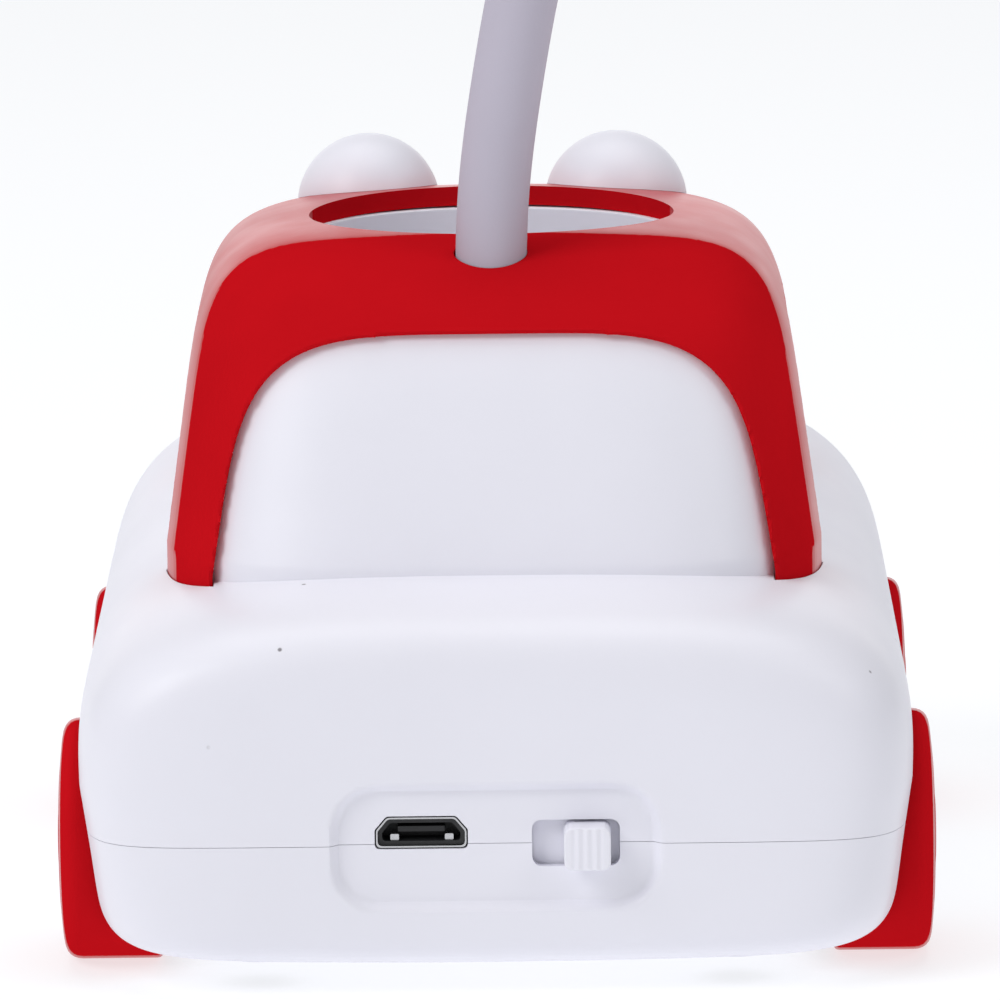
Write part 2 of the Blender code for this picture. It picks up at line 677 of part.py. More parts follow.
def make_motor():
    y0, z0 = -AXLE_Y, WHEEL_RADIUS
    idler_y, idler_z = y0 + IDLER_FROM_AXLE[0], z0 + IDLER_FROM_AXLE[1]
    barrel_y, barrel_z = y0 + BARREL_FROM_AXLE[0], z0 + BARREL_FROM_AXLE[1]
    # A gear's own X points down once it stands on an X axis, so angles are measured from -Z towards +Y.
    to_idler = math.atan2(idler_y - y0, -(idler_z - z0))
    to_barrel = math.atan2(barrel_y - idler_y, -(barrel_z - idler_z))
    idler_turn = mesh_turn(24, 12, 0.0, to_idler)
    barrel_turn = mesh_turn(24, 12, idler_turn, to_barrel)

    pinion = gear("axle_pinion", 12, -5.6 * MM, -2.6 * MM, y0, z0, 0.0, GEAR)
    cut(pinion, cylinder("pinion_bore", AXLE_RADIUS + GAP, (-9 * MM, y0, z0), (0, y0, z0), sides=14))

    idler = gear("idler_gear", 24, -5.4 * MM, -2.8 * MM, idler_y, idler_z, idler_turn, GEAR)
    small = gear("idler_small_gear", 12, -3 * MM, 1.4 * MM, idler_y, idler_z, idler_turn)
    ends = ((-7.7 * MM, idler_y, idler_z), (7.7 * MM, idler_y, idler_z))
    join(idler, small, cylinder("idler_shaft", 0.9 * MM, *ends, sides=14))

    barrel = gear("spring_gear", 24, -2 * MM, 1.2 * MM, barrel_y, barrel_z, barrel_turn, GEAR)
    arbor_end = (6 * MM, barrel_y, barrel_z)
    ends = ((-7.7 * MM, barrel_y, barrel_z), (7.7 * MM, barrel_y, barrel_z))
    arbor = cylinder("spring_arbor", 1.6 * MM, (0, barrel_y, barrel_z), arbor_end, sides=16)
    join(barrel, arbor, cylinder("spring_shaft", 0.9 * MM, *ends, sides=14))

    make_mainspring(barrel_y, barrel_z)
    make_motor_cases([(y0, z0, AXLE_RADIUS), (idler_y, idler_z, 0.9 * MM), (barrel_y, barrel_z, 0.9 * MM)])


def make_mainspring(y, z):
    """A flat steel strip wound in a spiral round the arbor."""
    turns, steps, strip = 4, 12, 0.25 * MM
    first, last = 2.1 * MM, 5.6 * MM
    count = int(turns * steps)
    edges = {1: [], -1: []}
    for i in range(count + 1):
        angle = 2 * math.pi * i / steps
        middle = first + (last - first) * i / count
        for side in (1, -1):
            radius = middle + side * strip / 2
            edges[side].append((radius * math.cos(angle), radius * math.sin(angle)))
    spring = outline_solid("mainspring", edges[1] + edges[-1][::-1], 3.4 * MM, STEEL)
    spring.rotation_euler = (0, math.pi / 2, 0)
    spring.location = (3.9 * MM, y, z)


def make_motor_cases(shafts):
    low_y, low_z = MOTOR_LOW
    high_y, high_z = MOTOR_HIGH
    half = GAP / 2
    for side, sign in (("left", -1), ("right", 1)):
        xs = sorted((sign * half, sign * MOTOR_HALF_WIDTH))
        case = box(f"motor_case_{side}", (xs[0], low_y, low_z), (xs[1], high_y, high_z), AMBER)
        inner_xs = sorted((-sign * MM, sign * (MOTOR_HALF_WIDTH - MOTOR_WALL)))
        low = (inner_xs[0], low_y + MOTOR_WALL, low_z + MOTOR_WALL)
        high = (inner_xs[1], high_y - MOTOR_WALL, high_z - MOTOR_WALL)
        cut(case, box(f"motor_hollow_{side}", low, high))
        for i, (y, z, radius) in enumerate(shafts):
            start, end = (sign * 5 * MM, y, z), (sign * 10 * MM, y, z)
            cut(case, cylinder(f"motor_{side}_bearing_{i}", radius + 0.25 * MM, start, end, sides=16))


def make_electrics():
    box("charge_board", (-13 * MM, -51 * MM, 11.4 * MM), (-0.8 * MM, -44.6 * MM, 12.4 * MM), BOARD)
    shell = usb_prism("usb_shell", 0.0, -52.1 * MM, -46.6 * MM, STEEL)
    cut(shell, usb_prism("usb_hollow", -0.3 * MM, -53 * MM, -47 * MM))
    tongue_low = (USB_X - 2 * MM, -51 * MM, USB_Z + 1.2 * MM)
    tongue_high = (USB_X + 2 * MM, -47.3 * MM, USB_Z + 1.75 * MM)
    tongue = box("usb_tongue", tongue_low, tongue_high, BLACK)
    join(tongue, usb_prism("usb_insulator", -0.5 * MM, -48.5 * MM, -47.2 * MM))

    half_x, half_z = KNOB_SIZE[0] / 2, KNOB_SIZE[1] / 2
    knob = box(
        "switch_knob",
        (KNOB_X - half_x, KNOB_FACE_Y, 13 * MM - half_z),
        (KNOB_X + half_x, -50.7 * MM, 13 * MM + half_z),
        WHITE,
    )
    plate_low, plate_high = (KNOB_X - 6 * MM, -50.9 * MM, 10.2 * MM), (KNOB_X + 6 * MM, -50.2 * MM, 16 * MM)
    stem_low = (KNOB_X - 0.8 * MM, -50.4 * MM, 12.2 * MM)
    stem_high = (KNOB_X + 0.8 * MM, -48.9 * MM, 13.8 * MM)
    join(knob, box("knob_plate", plate_low, plate_high), box("knob_stem", stem_low, stem_high))

    body = box("switch_body", (2.2 * MM, -49.8 * MM, 10.8 * MM), (12.4 * MM, -45.8 * MM, 15.4 * MM), STEEL)
    cut(body, box("switch_window", (4.2 * MM, -51 * MM, 11.8 * MM), (9.2 * MM, -48.2 * MM, 14.2 * MM)))

    y, z = AXLE_Y, 19.9 * MM
    cell = cylinder("battery_cell", 7 * MM, (-24.4 * MM, y, z), (24.4 * MM, y, z), WRAP, sides=28)
    join(cell, cylinder("battery_button", 2.6 * MM, (20 * MM, y, z), (25.3 * MM, y, z), sides=16))

    box("ballast_plate", (-22 * MM, -17 * MM, 4 * MM), (22 * MM, 17 * MM, 6.7 * MM), STEEL)

    wire("battery_lead", BATTERY_LEAD)
    wire("lamp_lead", LAMP_LEAD)


def smooth_route(points, count):
    """Points evenly spaced in their parameter on a smooth curve through the given ones, in millimetres."""
    knots = [Vector(p) for p in points]
    knots = [2 * knots[0] - knots[1]] + knots + [2 * knots[-1] - knots[-2]]
    made = []
    spans = len(points) - 1
    for i in range(count):
        place = spans * i / (count - 1)
        span = min(int(place), spans - 1)
        t = place - span
        a, b, c, d = knots[span : span + 4]
        made.append(
            0.5 * (2 * b + (c - a) * t + (2 * a - 5 * b + 4 * c - d) * t**2 + (3 * b - a - 3 * c + d) * t**3)
        )
    return made


def wire(name, route):
    curve = bpy.data.curves.new(name, "CURVE")
    curve.dimensions = "3D"
    curve.bevel_depth = 0.55 * MM
    curve.bevel_resolution = 1
    curve.use_fill_caps = True
    points = smooth_route(route, 14)
    spline = curve.splines.new("POLY")
    spline.points.add(len(points) - 1)
    for place, point in zip(spline.points, points):
        place.co = (*(point * MM), 1)
    curve.materials.append(material(WIRE))
    CAR.objects.link(bpy.data.objects.new(name, curve))


def neck_joints():
    """The centres of the neck's bends: evenly spaced on its centre line, the first just above the roof."""
    line = smooth_route(NECK_ROUTE, 801)
    lengths = [0.0]
    for near, far in zip(line, line[1:]):
        lengths.append(lengths[-1] + (far - near).length)
    start = next(i for i, point in enumerate(line) if point.z >= 66)
    span = (lengths[-1] - lengths[start]) / NECK_LENGTHS
    joints = []
    for k in range(NECK_LENGTHS + 1):
        wanted = lengths[start] + k * span
        joints.append(line[min(range(len(line)), key=lambda i: abs(lengths[i] - wanted))] * MM)
    return joints


def stand(obj, start, end):
    """Puts an object's own Z on the line from start to end, with its origin at start."""
    obj.matrix_world = Matrix.Translation(start) @ (end - start).to_track_quat("Z", "Y").to_matrix().to_4x4()


def core_profile(length, has_socket, has_ball):
    """A rod with a ball end above and a dish below that sits over the next ball."""
    top = [(0, length), (CORE_RADIUS, length)]
    if has_ball:
        angles = [math.radians(d) for d in (0, 35, 70)]
        top = [(CORE_RADIUS * math.sin(a), length + CORE_RADIUS * math.cos(a)) for a in angles]
        top.append((CORE_RADIUS, length))
    if not has_socket:
        return top + [(CORE_RADIUS, 0), (0, 0)]
    rim = math.asin(CORE_RADIUS / SOCKET_RADIUS)
    angles = [rim * share for share in (1, 0.66, 0.33, 0)]
    return top + [(SOCKET_RADIUS * math.sin(a), SOCKET_RADIUS * 1.03 * math.cos(a)) for a in angles]


def sleeve_profile(low, high):
    inner = CORE_RADIUS + 0.25 * MM
    return [(inner, high), (NECK_RADIUS, high), (NECK_RADIUS, low), (inner, low), (inner, high)]


def make_neck():
    joints = neck_joints()
    foot = Vector((0, NECK_Y, 46 * MM))
    length = joints[0].z - foot.z
    root_core = turned("neck_core_0", core_profile(length, False, True), STEEL, sides=12)
    root_profile = sleeve_profile(SLEEVE_FOOT_Z - foot.z, length - SLEEVE_GAP)
    root_sleeve = turned("neck_sleeve_0", root_profile, LILAC, sides=16)
    for piece in (root_core, root_sleeve):
        stand(piece, foot, joints[0])
    for k, (start, end) in enumerate(zip(joints, joints[1:]), 1):
        length = (end - start).length
        last = k == NECK_LENGTHS
        core = turned(f"neck_core_{k}", core_profile(length, True, not last), STEEL, sides=12)
        top = length - (0 if last else SLEEVE_GAP)
        sleeve = turned(f"neck_sleeve_{k}", sleeve_profile(SLEEVE_GAP, top), LILAC, sides=16)
        stand(core, start, end)
        stand(sleeve, start, end)

    bore, outside, low, high = CORE_RADIUS + GAP, 3 * MM, 47.8 * MM, SLEEVE_FOOT_Z - GAP
    section = [(bore, high), (outside, high), (outside, low), (bore, low), (bore, high)]
    ferrule = turned("neck_ferrule", section, BRASS, sides=20)
    ferrule.location = (0, NECK_Y, 0)
    nut = cylinder("neck_nut", 4.5 * MM, (0, NECK_Y, 49 * MM), (0, NECK_Y, 52.2 * MM), BRASS, sides=6)
    nut.data.transform(Matrix.Rotation(math.pi / 2, 4, "Z"))
    cut(nut, cylinder("nut_bore", 3.25 * MM, (0, NECK_Y, 48 * MM), (0, NECK_Y, 58 * MM), sides=20))
    return joints


def make_head(neck_start, neck_end):
    """The lamp head: its rim sits on the neck's last length and it faces forwards and down."""
    along = (neck_end - neck_start).normalized()
    ahead = Vector((0, math.sin(HEAD_TILT), -math.cos(HEAD_TILT)))
    facing = (ahead - along * ahead.dot(along)).normalized()
    across = along.cross(facing)
    frame = Matrix((across, along, facing)).transposed().to_4x4()
    centre = neck_end + along * HEAD_REACH
    place = Matrix.Translation(centre) @ frame
    radius = HEAD_RADIUS
    wall = 1.6 * MM

    def dome(reach, depth, shares):
        return [(reach * math.cos(a), -depth * math.sin(a)) for a in (math.radians(s) for s in shares)]

    outside = [(radius, 0)] + dome(radius, 9 * MM, (25, 50, 75)) + [(0, -9 * MM)]
    inside = [(0, -9 * MM + wall)] + dome(radius - wall, 9 * MM - wall, (60, 30)) + [(radius - wall, 0)]
    back = turned("head_back", [(radius - wall, 0)] + outside + inside, WHITE, sides=40)
    trim = turned(
        "head_trim",
        [
            (radius - wall, 4 * MM), (radius - 0.5 * MM, 4 * MM), (radius + 0.5 * MM, 3 * MM),
            (radius + 0.5 * MM, 0.3 * MM), (radius - 3.6 * MM, 0.3 * MM), (radius - 3.6 * MM, 1.5 * MM),
            (radius - wall, 1.5 * MM), (radius - wall, 4 * MM),
        ],
        RED,
        sides=40,
    )
    diffuser = turned(
        "head_diffuser",
        [
            (0, 4.2 * MM), (radius - 6 * MM, 3.9 * MM), (radius - 1.9 * MM, 3.4 * MM),
            (radius - 1.9 * MM, 1.8 * MM), (0, 1.8 * MM),
        ],
        FROST,
        sides=36,
    )
    board = turned(
        "led_board",
        [(0, 0.2 * MM), (radius - 5 * MM, 0.2 * MM), (radius - 5 * MM, -1 * MM), (0, -1 * MM)],
        BOARD,
        sides=32,
    )
    for piece in (back, trim, diffuser, board):
        piece.matrix_world = place
    collar_start = neck_end - along * 2.6 * MM
    collar = cylinder("head_collar", 5 * MM, collar_start, neck_end + along * 6.2 * MM, WHITE, sides=20)
    bore_start, bore_end = collar_start - along * 5 * MM, neck_end + along * 2.2 * MM
    bore = cylinder("collar_bore", NECK_RADIUS + 0.35 * MM, bore_start, bore_end, sides=20)
    seat = [
        (0, 9 * MM), (radius + 1.1 * MM, 9 * MM), (radius + 1.1 * MM, -2 * MM),
        (radius - 2 * MM, -6.5 * MM), (0, -11 * MM),
    ]
    shape = turned("collar_seat", seat, sides=40)
    shape.matrix_world = place
    cut(collar, shape, bore)


def make_screws():
    for i, (x, y) in enumerate(screw_places(), 1):
        shank = [(0, 19 * MM), (1 * MM, 17 * MM), (1 * MM, 4.5 * MM)]
        head = [(2.2 * MM, 4.5 * MM), (2.2 * MM, 3.9 * MM), (1.7 * MM, 3.2 * MM), (0, 3.1 * MM)]
        screw = turned(f"case_screw_{i}", shank + head, STEEL, sides=10)
        screw.location = (x, y, 0)


clear_scene()
CAR = collection("pull_back_car_lamp")
CUTTERS = collection("cutters")
make_roof_frame(make_shells())
make_pen_cup()
make_ears()
make_headlights()
make_bumper()
make_axles()
make_motor()
make_electrics()
joints = make_neck()
make_head(joints[-2], joints[-1])
make_screws()
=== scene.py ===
"""Looks for the toy-car desk lamp: fine skins for its moulded shells, its neck and its lamp head.

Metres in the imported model's own frame: the car's nose points along +Y, +X is its right side, +Z is up.
"""

import json
import math

import bmesh
import bpy
import numpy as np
from mathutils import Matrix, Vector
from mathutils.bvhtree import BVHTree


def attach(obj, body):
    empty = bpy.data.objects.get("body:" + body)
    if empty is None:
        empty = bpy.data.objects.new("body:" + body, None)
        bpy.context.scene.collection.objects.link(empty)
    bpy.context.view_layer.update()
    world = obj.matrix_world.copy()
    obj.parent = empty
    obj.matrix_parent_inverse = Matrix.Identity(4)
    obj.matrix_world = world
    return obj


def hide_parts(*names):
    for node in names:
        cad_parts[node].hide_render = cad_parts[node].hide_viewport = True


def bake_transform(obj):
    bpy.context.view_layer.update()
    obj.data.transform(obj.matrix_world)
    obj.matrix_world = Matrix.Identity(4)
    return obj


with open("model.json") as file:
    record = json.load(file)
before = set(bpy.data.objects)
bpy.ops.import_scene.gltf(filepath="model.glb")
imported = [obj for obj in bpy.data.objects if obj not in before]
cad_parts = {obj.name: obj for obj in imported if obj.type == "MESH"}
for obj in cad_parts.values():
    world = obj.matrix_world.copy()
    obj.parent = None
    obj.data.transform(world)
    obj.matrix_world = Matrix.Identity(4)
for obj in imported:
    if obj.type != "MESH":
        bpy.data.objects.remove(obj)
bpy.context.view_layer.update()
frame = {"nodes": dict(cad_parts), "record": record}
nodes = frame["nodes"]
MM = 0.001
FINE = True

# Lengths below are in millimetres, and points are scaled by MM where a mesh is made.
# The moulded shells repeat the CAD's own formulas, so they fit its other nodes.
BODY_HALF_LENGTH, BODY_HALF_WIDTH, BODY_WALL, BODY_FLOOR_Z = 53.0, 35.5, 1.8, 1.55
WIDEST_Z, DECK_Z, DECK_RISE = 16.7, 35.75, 0.049
PLAN_POWER, DECK_POWER, KEEL_POWER, SHOULDER_POWER, SILL_POWER = 11.0, 9.0, 10.7, 3.3, 9.0
LOWER_TAPER, FLOOR_CROWN = 0.054, 0.036
SEAM_Z, SEAM_HALF_GAP = 13.1, 0.022
CABIN_BASE_Z, CABIN_TOP_Z, CABIN_FOOT_Z = 34.0, 60.3, 26.5
CABIN_HALF_WIDTH, CABIN_REAR, CABIN_FRONT = 28.6, 40.5, 38.0
SIDE_TAPER, REAR_TAPER, FRONT_TAPER = 0.146, 0.363, 0.42
CABIN_TOP_POWER, CABIN_PLAN_POWER = 7.5, 4.6
ROOF_DROP_X, ROOF_DROP_Y = 1.85, 1.4
WINDOW_DEPTH, WINDOW_SILL_Z = 0.9, 33.0
FRAME_WALL, CABIN_WALL, GAP = 1.7, 1.6, 0.3
CUP_Y, CUP_RADIUS, CUP_OUTER_RADIUS, CUP_FLOOR_Z, CUP_RIM_Z = -2.0, 15.5, 16.7, 9.6, 58.0
ROOF_HOLE_RADIUS = 16.0
NECK_Y, NECK_RADIUS, NECK_BORE_RADIUS = -24.0, 3.05, 2.6
AXLE_Y, WHEEL_RADIUS, WHEEL_INNER_X = 33.5, 10.3, 28.6
ARCH_RADIUS, ARCH_X, ARCH_WALL_RADIUS, ARCH_WALL_X = 11.7, 27.4, 13.2, 25.9
DOME_RADIUS, DOME_X, DOME_Y, DOME_Z = 6.4, 11.1, 19.0, 57.7
HEADLIGHT_X, HEADLIGHT_Z = 22, 20
BUMPER_PEG_X, BUMPER_PEG_Z = 12, 8
SCREW_PLACES = [(x, y) for y in (-45, 45) for x in (-20, 20)]

# The sunk panel in the rear face, with the charging port and the slide switch in it.
REAR_FACE_Y, PANEL_Y, PANEL_EDGE = -47.0, -52.15, 0.9
PANEL_X, PANEL_Z, PANEL_HALF_WIDTH, PANEL_HALF_HEIGHT, PANEL_CORNER = -0.02, 12.9, 13.5, 5.05, 3.7
PORT_X, KNOB_X = -6.25, 7.62
KNOB_HALF_WIDTH, KNOB_FACE_Y, RIB_PITCH, RIB_DEPTH = 1.95, -54.5, 0.75, 0.05

# How closely the roof frame's softened mesh keeps to its exact form: a vertex nearer to it than
# ROOF_SNAP is moved onto it, and one at twice that distance stays, which leaves the edges round.
ROOF_SNAP = 0.06


# ---------------------------------------------------------------- mesh tools
def new_object(name, verts, faces, smooth_angle=40):
    """A mesh object from points in millimetres."""
    mesh = bpy.data.meshes.new(name)
    mesh.from_pydata([tuple(np.asarray(v) * MM) for v in verts], [], faces)
    mesh.update()
    obj = bpy.data.objects.new(name, mesh)
    bpy.context.scene.collection.objects.link(obj)
    soften(obj, smooth_angle)
    return obj


def soften(obj, angle):
    """Smooth shading, with a sharp edge wherever faces meet at more than this many degrees."""
    obj.data.shade_smooth()
    obj.data.set_sharp_from_angle(angle=math.radians(angle))


def face_outwards(obj):
    bm = bmesh.new()
    bm.from_mesh(obj.data)
    bmesh.ops.recalc_face_normals(bm, faces=bm.faces)
    bm.to_mesh(obj.data)
    bm.free()


def bake_modifiers(obj):
    """Replaces the mesh by its modified result."""
    graph = bpy.context.evaluated_depsgraph_get()
    graph.update()
    mesh = bpy.data.meshes.new_from_object(obj.evaluated_get(graph))
    old = obj.data
    obj.modifiers.clear()
    obj.data = mesh
    mesh.name = obj.name
    bpy.data.meshes.remove(old)


def boolean(obj, operation, cutter):
    """Combines the object with the cutter, which is used up."""
    step = obj.modifiers.new(operation, "BOOLEAN")
    step.operation = operation
    step.object = cutter
    step.solver = "MANIFOLD"
    bake_modifiers(obj)
    bpy.data.objects.remove(cutter)


def merged(name, objects):
    """Several separate closed meshes as one object."""
    bm = bmesh.new()
    for obj in objects:
        mesh = obj.data.copy()
        mesh.transform(obj.matrix_world)
        bm.from_mesh(mesh)
        bpy.data.meshes.remove(mesh)
        bpy.data.objects.remove(obj)
    mesh = bpy.data.meshes.new(name)
    bm.to_mesh(mesh)
    bm.free()
    obj = bpy.data.objects.new(name, mesh)
    bpy.context.scene.collection.objects.link(obj)
    return obj


def remesh(obj, voxel, smoothing):
    """Rounds every edge: an even mesh of this spacing in millimetres, then smoothed."""
    even = obj.modifiers.new("even", "REMESH")
    even.mode = "VOXEL"
    even.voxel_size = voxel * MM
    rounding = obj.modifiers.new("round", "SMOOTH")
    rounding.iterations = smoothing
    rounding.factor = 0.5
    bake_modifiers(obj)
    obj.data.shade_smooth()


def loft(name, rings):
    """A closed solid through rings of points."""
    count = len(rings[0])
    verts = [p for ring in rings for p in ring]
    faces = []
    for k in range(len(rings) - 1):
        for i in range(count):
            j = (i + 1) % count
            faces.append((k * count + i, k * count + j, (k + 1) * count + j, (k + 1) * count + i))
    last = (len(rings) - 1) * count
    faces += [tuple(range(count)), tuple(range(last, last + count))]
    obj = new_object(name, verts, faces)
    face_outwards(obj)
    return obj


def turned(name, profile, sides, place, smooth_angle=40):
    """A solid turned about Z from (radius, height) points, or from them in a closed loop, then placed."""
    looped = profile[0] == profile[-1]
    points = profile[:-1] if looped else profile
    verts, rows = [], []
    for r, z in points:
        if r < 1e-9:
            rows.append([len(verts)] * sides)
            verts.append((0, 0, z))
            continue
        rows.append([len(verts) + i for i in range(sides)])
        angles = [2 * math.pi * i / sides for i in range(sides)]
        verts += [(r * math.cos(a), r * math.sin(a), z) for a in angles]
    faces = []
    pairs = list(zip(rows, rows[1:])) + ([(rows[-1], rows[0])] if looped else [])
    for near, far in pairs:
        for i in range(sides):
            j = (i + 1) % sides
            corners = [near[i], near[j], far[j], far[i]]
            face = [c for n, c in enumerate(corners) if c not in corners[:n]]
            if len(face) > 2:
                faces.append(face)
    obj = new_object(name, verts, faces, smooth_angle=smooth_angle)
    obj.data.transform(place)
    face_outwards(obj)
    soften(obj, smooth_angle)
    return obj


def fillet(points, radii, steps):
    """A polyline with its corners rounded, by one radius for each point."""
    made = [points[0]]
    for before, here, after, r in zip(points, points[1:], points[2:], radii[1:]):
        a, b, c = Vector((*before, 0)), Vector((*here, 0)), Vector((*after, 0))
        u, v = (a - b), (c - b)
        if r <= 0 or u.length < 1e-9 or v.length < 1e-9:
            made.append(here)
            continue
        half = u.angle(v) / 2
        reach = min(r / math.tan(half), u.length * 0.49, v.length * 0.49)
        p, q = b + u.normalized() * reach, b + v.normalized() * reach
        for i in range(steps + 1):
            t = i / steps
            w = p * (1 - t) ** 2 + b * 2 * t * (1 - t) + q * t**2
            made.append((w.x, w.y))
    made.append(points[-1])
    return made


def prism(name, outline, low, high, axis="Y"):
    """A flat outline, thick from low to high: (x, z) points along Y, or (y, z) points along X."""
    count = len(outline)
    verts = [(u, t, v) if axis == "Y" else (t, u, v) for t in (low, high) for u, v in outline]
    faces = [tuple(range(count)), tuple(range(count, 2 * count))]
    faces += [(i, (i + 1) % count, count + (i + 1) % count, count + i) for i in range(count)]
    obj = new_object(name, verts, faces)
    face_outwards(obj)
    return obj


def box(name, low, high):
    (x0, y0, z0), (x1, y1, z1) = low, high
    return prism(name, [(x0, z0), (x1, z0), (x1, z1), (x0, z1)], y0, y1)


def rounded_rectangle(x0, z0, x1, z1, radius):
    steps = 6
    left, right, low, high = x0 + radius, x1 - radius, z0 + radius, z1 - radius
    outline = []
    for quarter, (cx, cz) in enumerate(((right, high), (left, high), (left, low), (right, low))):
        for i in range(steps + 1):
            a = math.pi / 2 * (quarter + i / steps)
            outline.append((cx + radius * math.cos(a), cz + radius * math.sin(a)))
    return outline


def cylinder(name, radius, start, end, sides):
    start, end = Vector(start), Vector(end)
    along, length = end - start, (end - start).length
    place = Matrix.Translation(start * MM) @ along.to_track_quat("Z", "Y").to_matrix().to_4x4()
    return turned(name, [(0, length), (radius, length), (radius, 0), (0, 0)], sides, place)


# ---------------------------------------------------------------- the car's forms
def superellipse(angle, power):
    """The point of a rounded square of half width 1 in this direction."""
    c, s = math.cos(angle), math.sin(angle)
    radius = (abs(c) ** power + abs(s) ** power) ** (-1 / power)
    return radius * c, radius * s


def share_left(share, power):
    """The superellipse's other coordinate, from 1 where share is 0 down to 0 where share is 1."""
    return np.maximum(0.0, 1 - np.abs(share) ** power) ** (1 / power)


def body_value(p, inset):
    """Below 1 inside the body's surface, above 1 outside."""
    share = np.minimum(np.abs(p[:, 1]) / (BODY_HALF_LENGTH - inset), 1.0)
    half = np.maximum((BODY_HALF_WIDTH - inset) * share_left(share, PLAN_POWER), 1e-6)
    up = (DECK_Z + DECK_RISE * p[:, 1] - inset - WIDEST_Z) * share_left(share, DECK_POWER)
    down = (WIDEST_Z - BODY_FLOOR_Z - inset) * share_left(share, KEEL_POWER)
    dz = p[:, 2] - WIDEST_Z
    above = dz > 0
    reach = np.maximum(np.where(above, up, down), 1e-6)
    across, rise = np.abs(p[:, 0]) / half, np.abs(dz) / reach
    x, z = across, rise
    for _ in range(4):
        x = np.where(above, across, across / (1 - LOWER_TAPER * np.minimum(z, 1)))
        z = np.where(above, rise, rise / (1 - FLOOR_CROWN * np.minimum(x, 1) ** 2))
    power = np.where(above, SHOULDER_POWER, SILL_POWER)
    value = np.minimum(x, 50) ** power + np.minimum(z, 50) ** power
    return np.where(share < 1, value, 99.0)


def body_surface(inset, xs, ys, zs):
    """The body as a grid wrapped round a box: xs, ys and zs are its grid lines from -1 to 1.

    Each point of the box is moved along its ray from the centre until it meets the surface.
    """
    box_half_height = 17.0
    index, points = {}, []
    counts = (len(xs), len(ys), len(zs))

    def vertex(i, j, k):
        key = (i, j, k)
        if key not in index:
            index[key] = len(points)
            points.append((xs[i] * BODY_HALF_WIDTH, ys[j] * BODY_HALF_LENGTH, zs[k] * box_half_height))
        return index[key]

    faces = []
    for axis in range(3):
        a, b = [n for n in range(3) if n != axis]
        for end in (0, counts[axis] - 1):
            for m in range(counts[a] - 1):
                for n in range(counts[b] - 1):
                    corners = []
                    for dm, dn in ((0, 0), (1, 0), (1, 1), (0, 1)):
                        place = [0, 0, 0]
                        place[axis], place[a], place[b] = end, m + dm, n + dn
                        corners.append(vertex(*place))
                    faces.append(corners if (end == 0) == (axis == 1) else corners[::-1])
    rays = np.array(points, float)
    centre = np.array([0, 0, WIDEST_Z])
    low, high = np.zeros(len(rays)), np.full(len(rays), 2.0)
    for _ in range(40):
        middle = (low + high) / 2
        inside = body_value(centre + rays * middle[:, None], inset) < 1
        low, high = np.where(inside, middle, low), np.where(inside, high, middle)
    return centre + rays * ((low + high) / 2)[:, None], faces


def lines(step, *finer):
    """Grid lines from -1 to 1 with this spacing, and a finer spacing in the given stretches."""
    made, at = [-1.0], -1.0
    while at < 1 - 1e-9:
        width = min([step] + [fine for low, high, fine in finer if low <= at < high])
        at = min(1.0, at + width)
        made.append(at)
    if made[-1] - made[-2] < 0.2 * step:
        made.pop(-2)
    return made


def cabin_ring(z, offset, points, spread=1.0):
    """The cabin's outline at this height, moved outwards by offset and drawn in by spread."""
    height = CABIN_TOP_Z + offset - CABIN_BASE_Z
    rise = max(0.0, z - CABIN_BASE_Z)
    narrowing = spread * float(share_left(rise / height, CABIN_TOP_POWER))
    half_x = (CABIN_HALF_WIDTH + offset - SIDE_TAPER * rise) * narrowing
    rear = (CABIN_REAR + offset - REAR_TAPER * rise) * narrowing
    front = (CABIN_FRONT + offset - FRONT_TAPER * rise) * narrowing
    ring = []
    for i in range(points):
        x, y = superellipse(2 * math.pi * (i + 0.5) / points, CABIN_PLAN_POWER)
        x, y = x * half_x, y * (front if y > 0 else rear)
        drop = ROOF_DROP_X * (x / 28) ** 2 + ROOF_DROP_Y * ((y - CUP_Y) / 30) ** 2
        ring.append((x, y, z - drop * (rise / height) ** 4))
    return ring


def cabin_form(name, offset, points=240, levels=80):
    height = CABIN_TOP_Z + offset - CABIN_BASE_Z
    nearly = 0.99998  # at the very top the rings would shrink to a point
    rings = [cabin_ring(CABIN_FOOT_Z, offset, points), cabin_ring(CABIN_FOOT_Z + 2, offset, points)]
    for i in range(levels + 1):
        a = math.pi / 2 * i / levels
        rings.append(cabin_ring(CABIN_BASE_Z + superellipse(a, 5)[1] * height * nearly, offset, points))
    # close the nearly flat top with shrinking rings, so that it keeps its slight crown
    for spread in (0.85, 0.7, 0.55, 0.4, 0.25, 0.1):
        rings.append(cabin_ring(CABIN_BASE_Z + height * nearly, offset, points, spread))
    return loft(name, rings)


WINDOWS = {
    "end": dict(half=23.9, taper=0.157, top=53.2),
    "side": dict(half=21.0, taper=0.3, top=52.0),
}


def window_outline(kind, clearance):
    w, steps = WINDOWS[kind], 60
    height = w["top"] - WINDOW_SILL_Z - clearance
    side = []
    for i in range(1, steps):
        width, rise = superellipse(math.pi / 2 * i / steps, 4.6)
        half = w["half"] - w["taper"] * rise * height - clearance
        side.append((half * width, WINDOW_SILL_Z + rise * height))
    edge = w["half"] - clearance
    right = [(edge, CABIN_FOOT_Z - 4), (edge, WINDOW_SILL_Z)] + side
    return right + [(0, WINDOW_SILL_Z + height)] + [(-x, z) for x, z in reversed(right)]


def window_cutters(tag, clearance):
    ends, sides = window_outline("end", clearance), window_outline("side", clearance)
    return [
        prism(f"rear_{tag}", ends, -50, -15.5),
        prism(f"front_{tag}", ends, 15.5, 50),
        prism(f"sides_{tag}", [(y - 1, z) for y, z in sides], -40, 40, axis="X"),
    ]


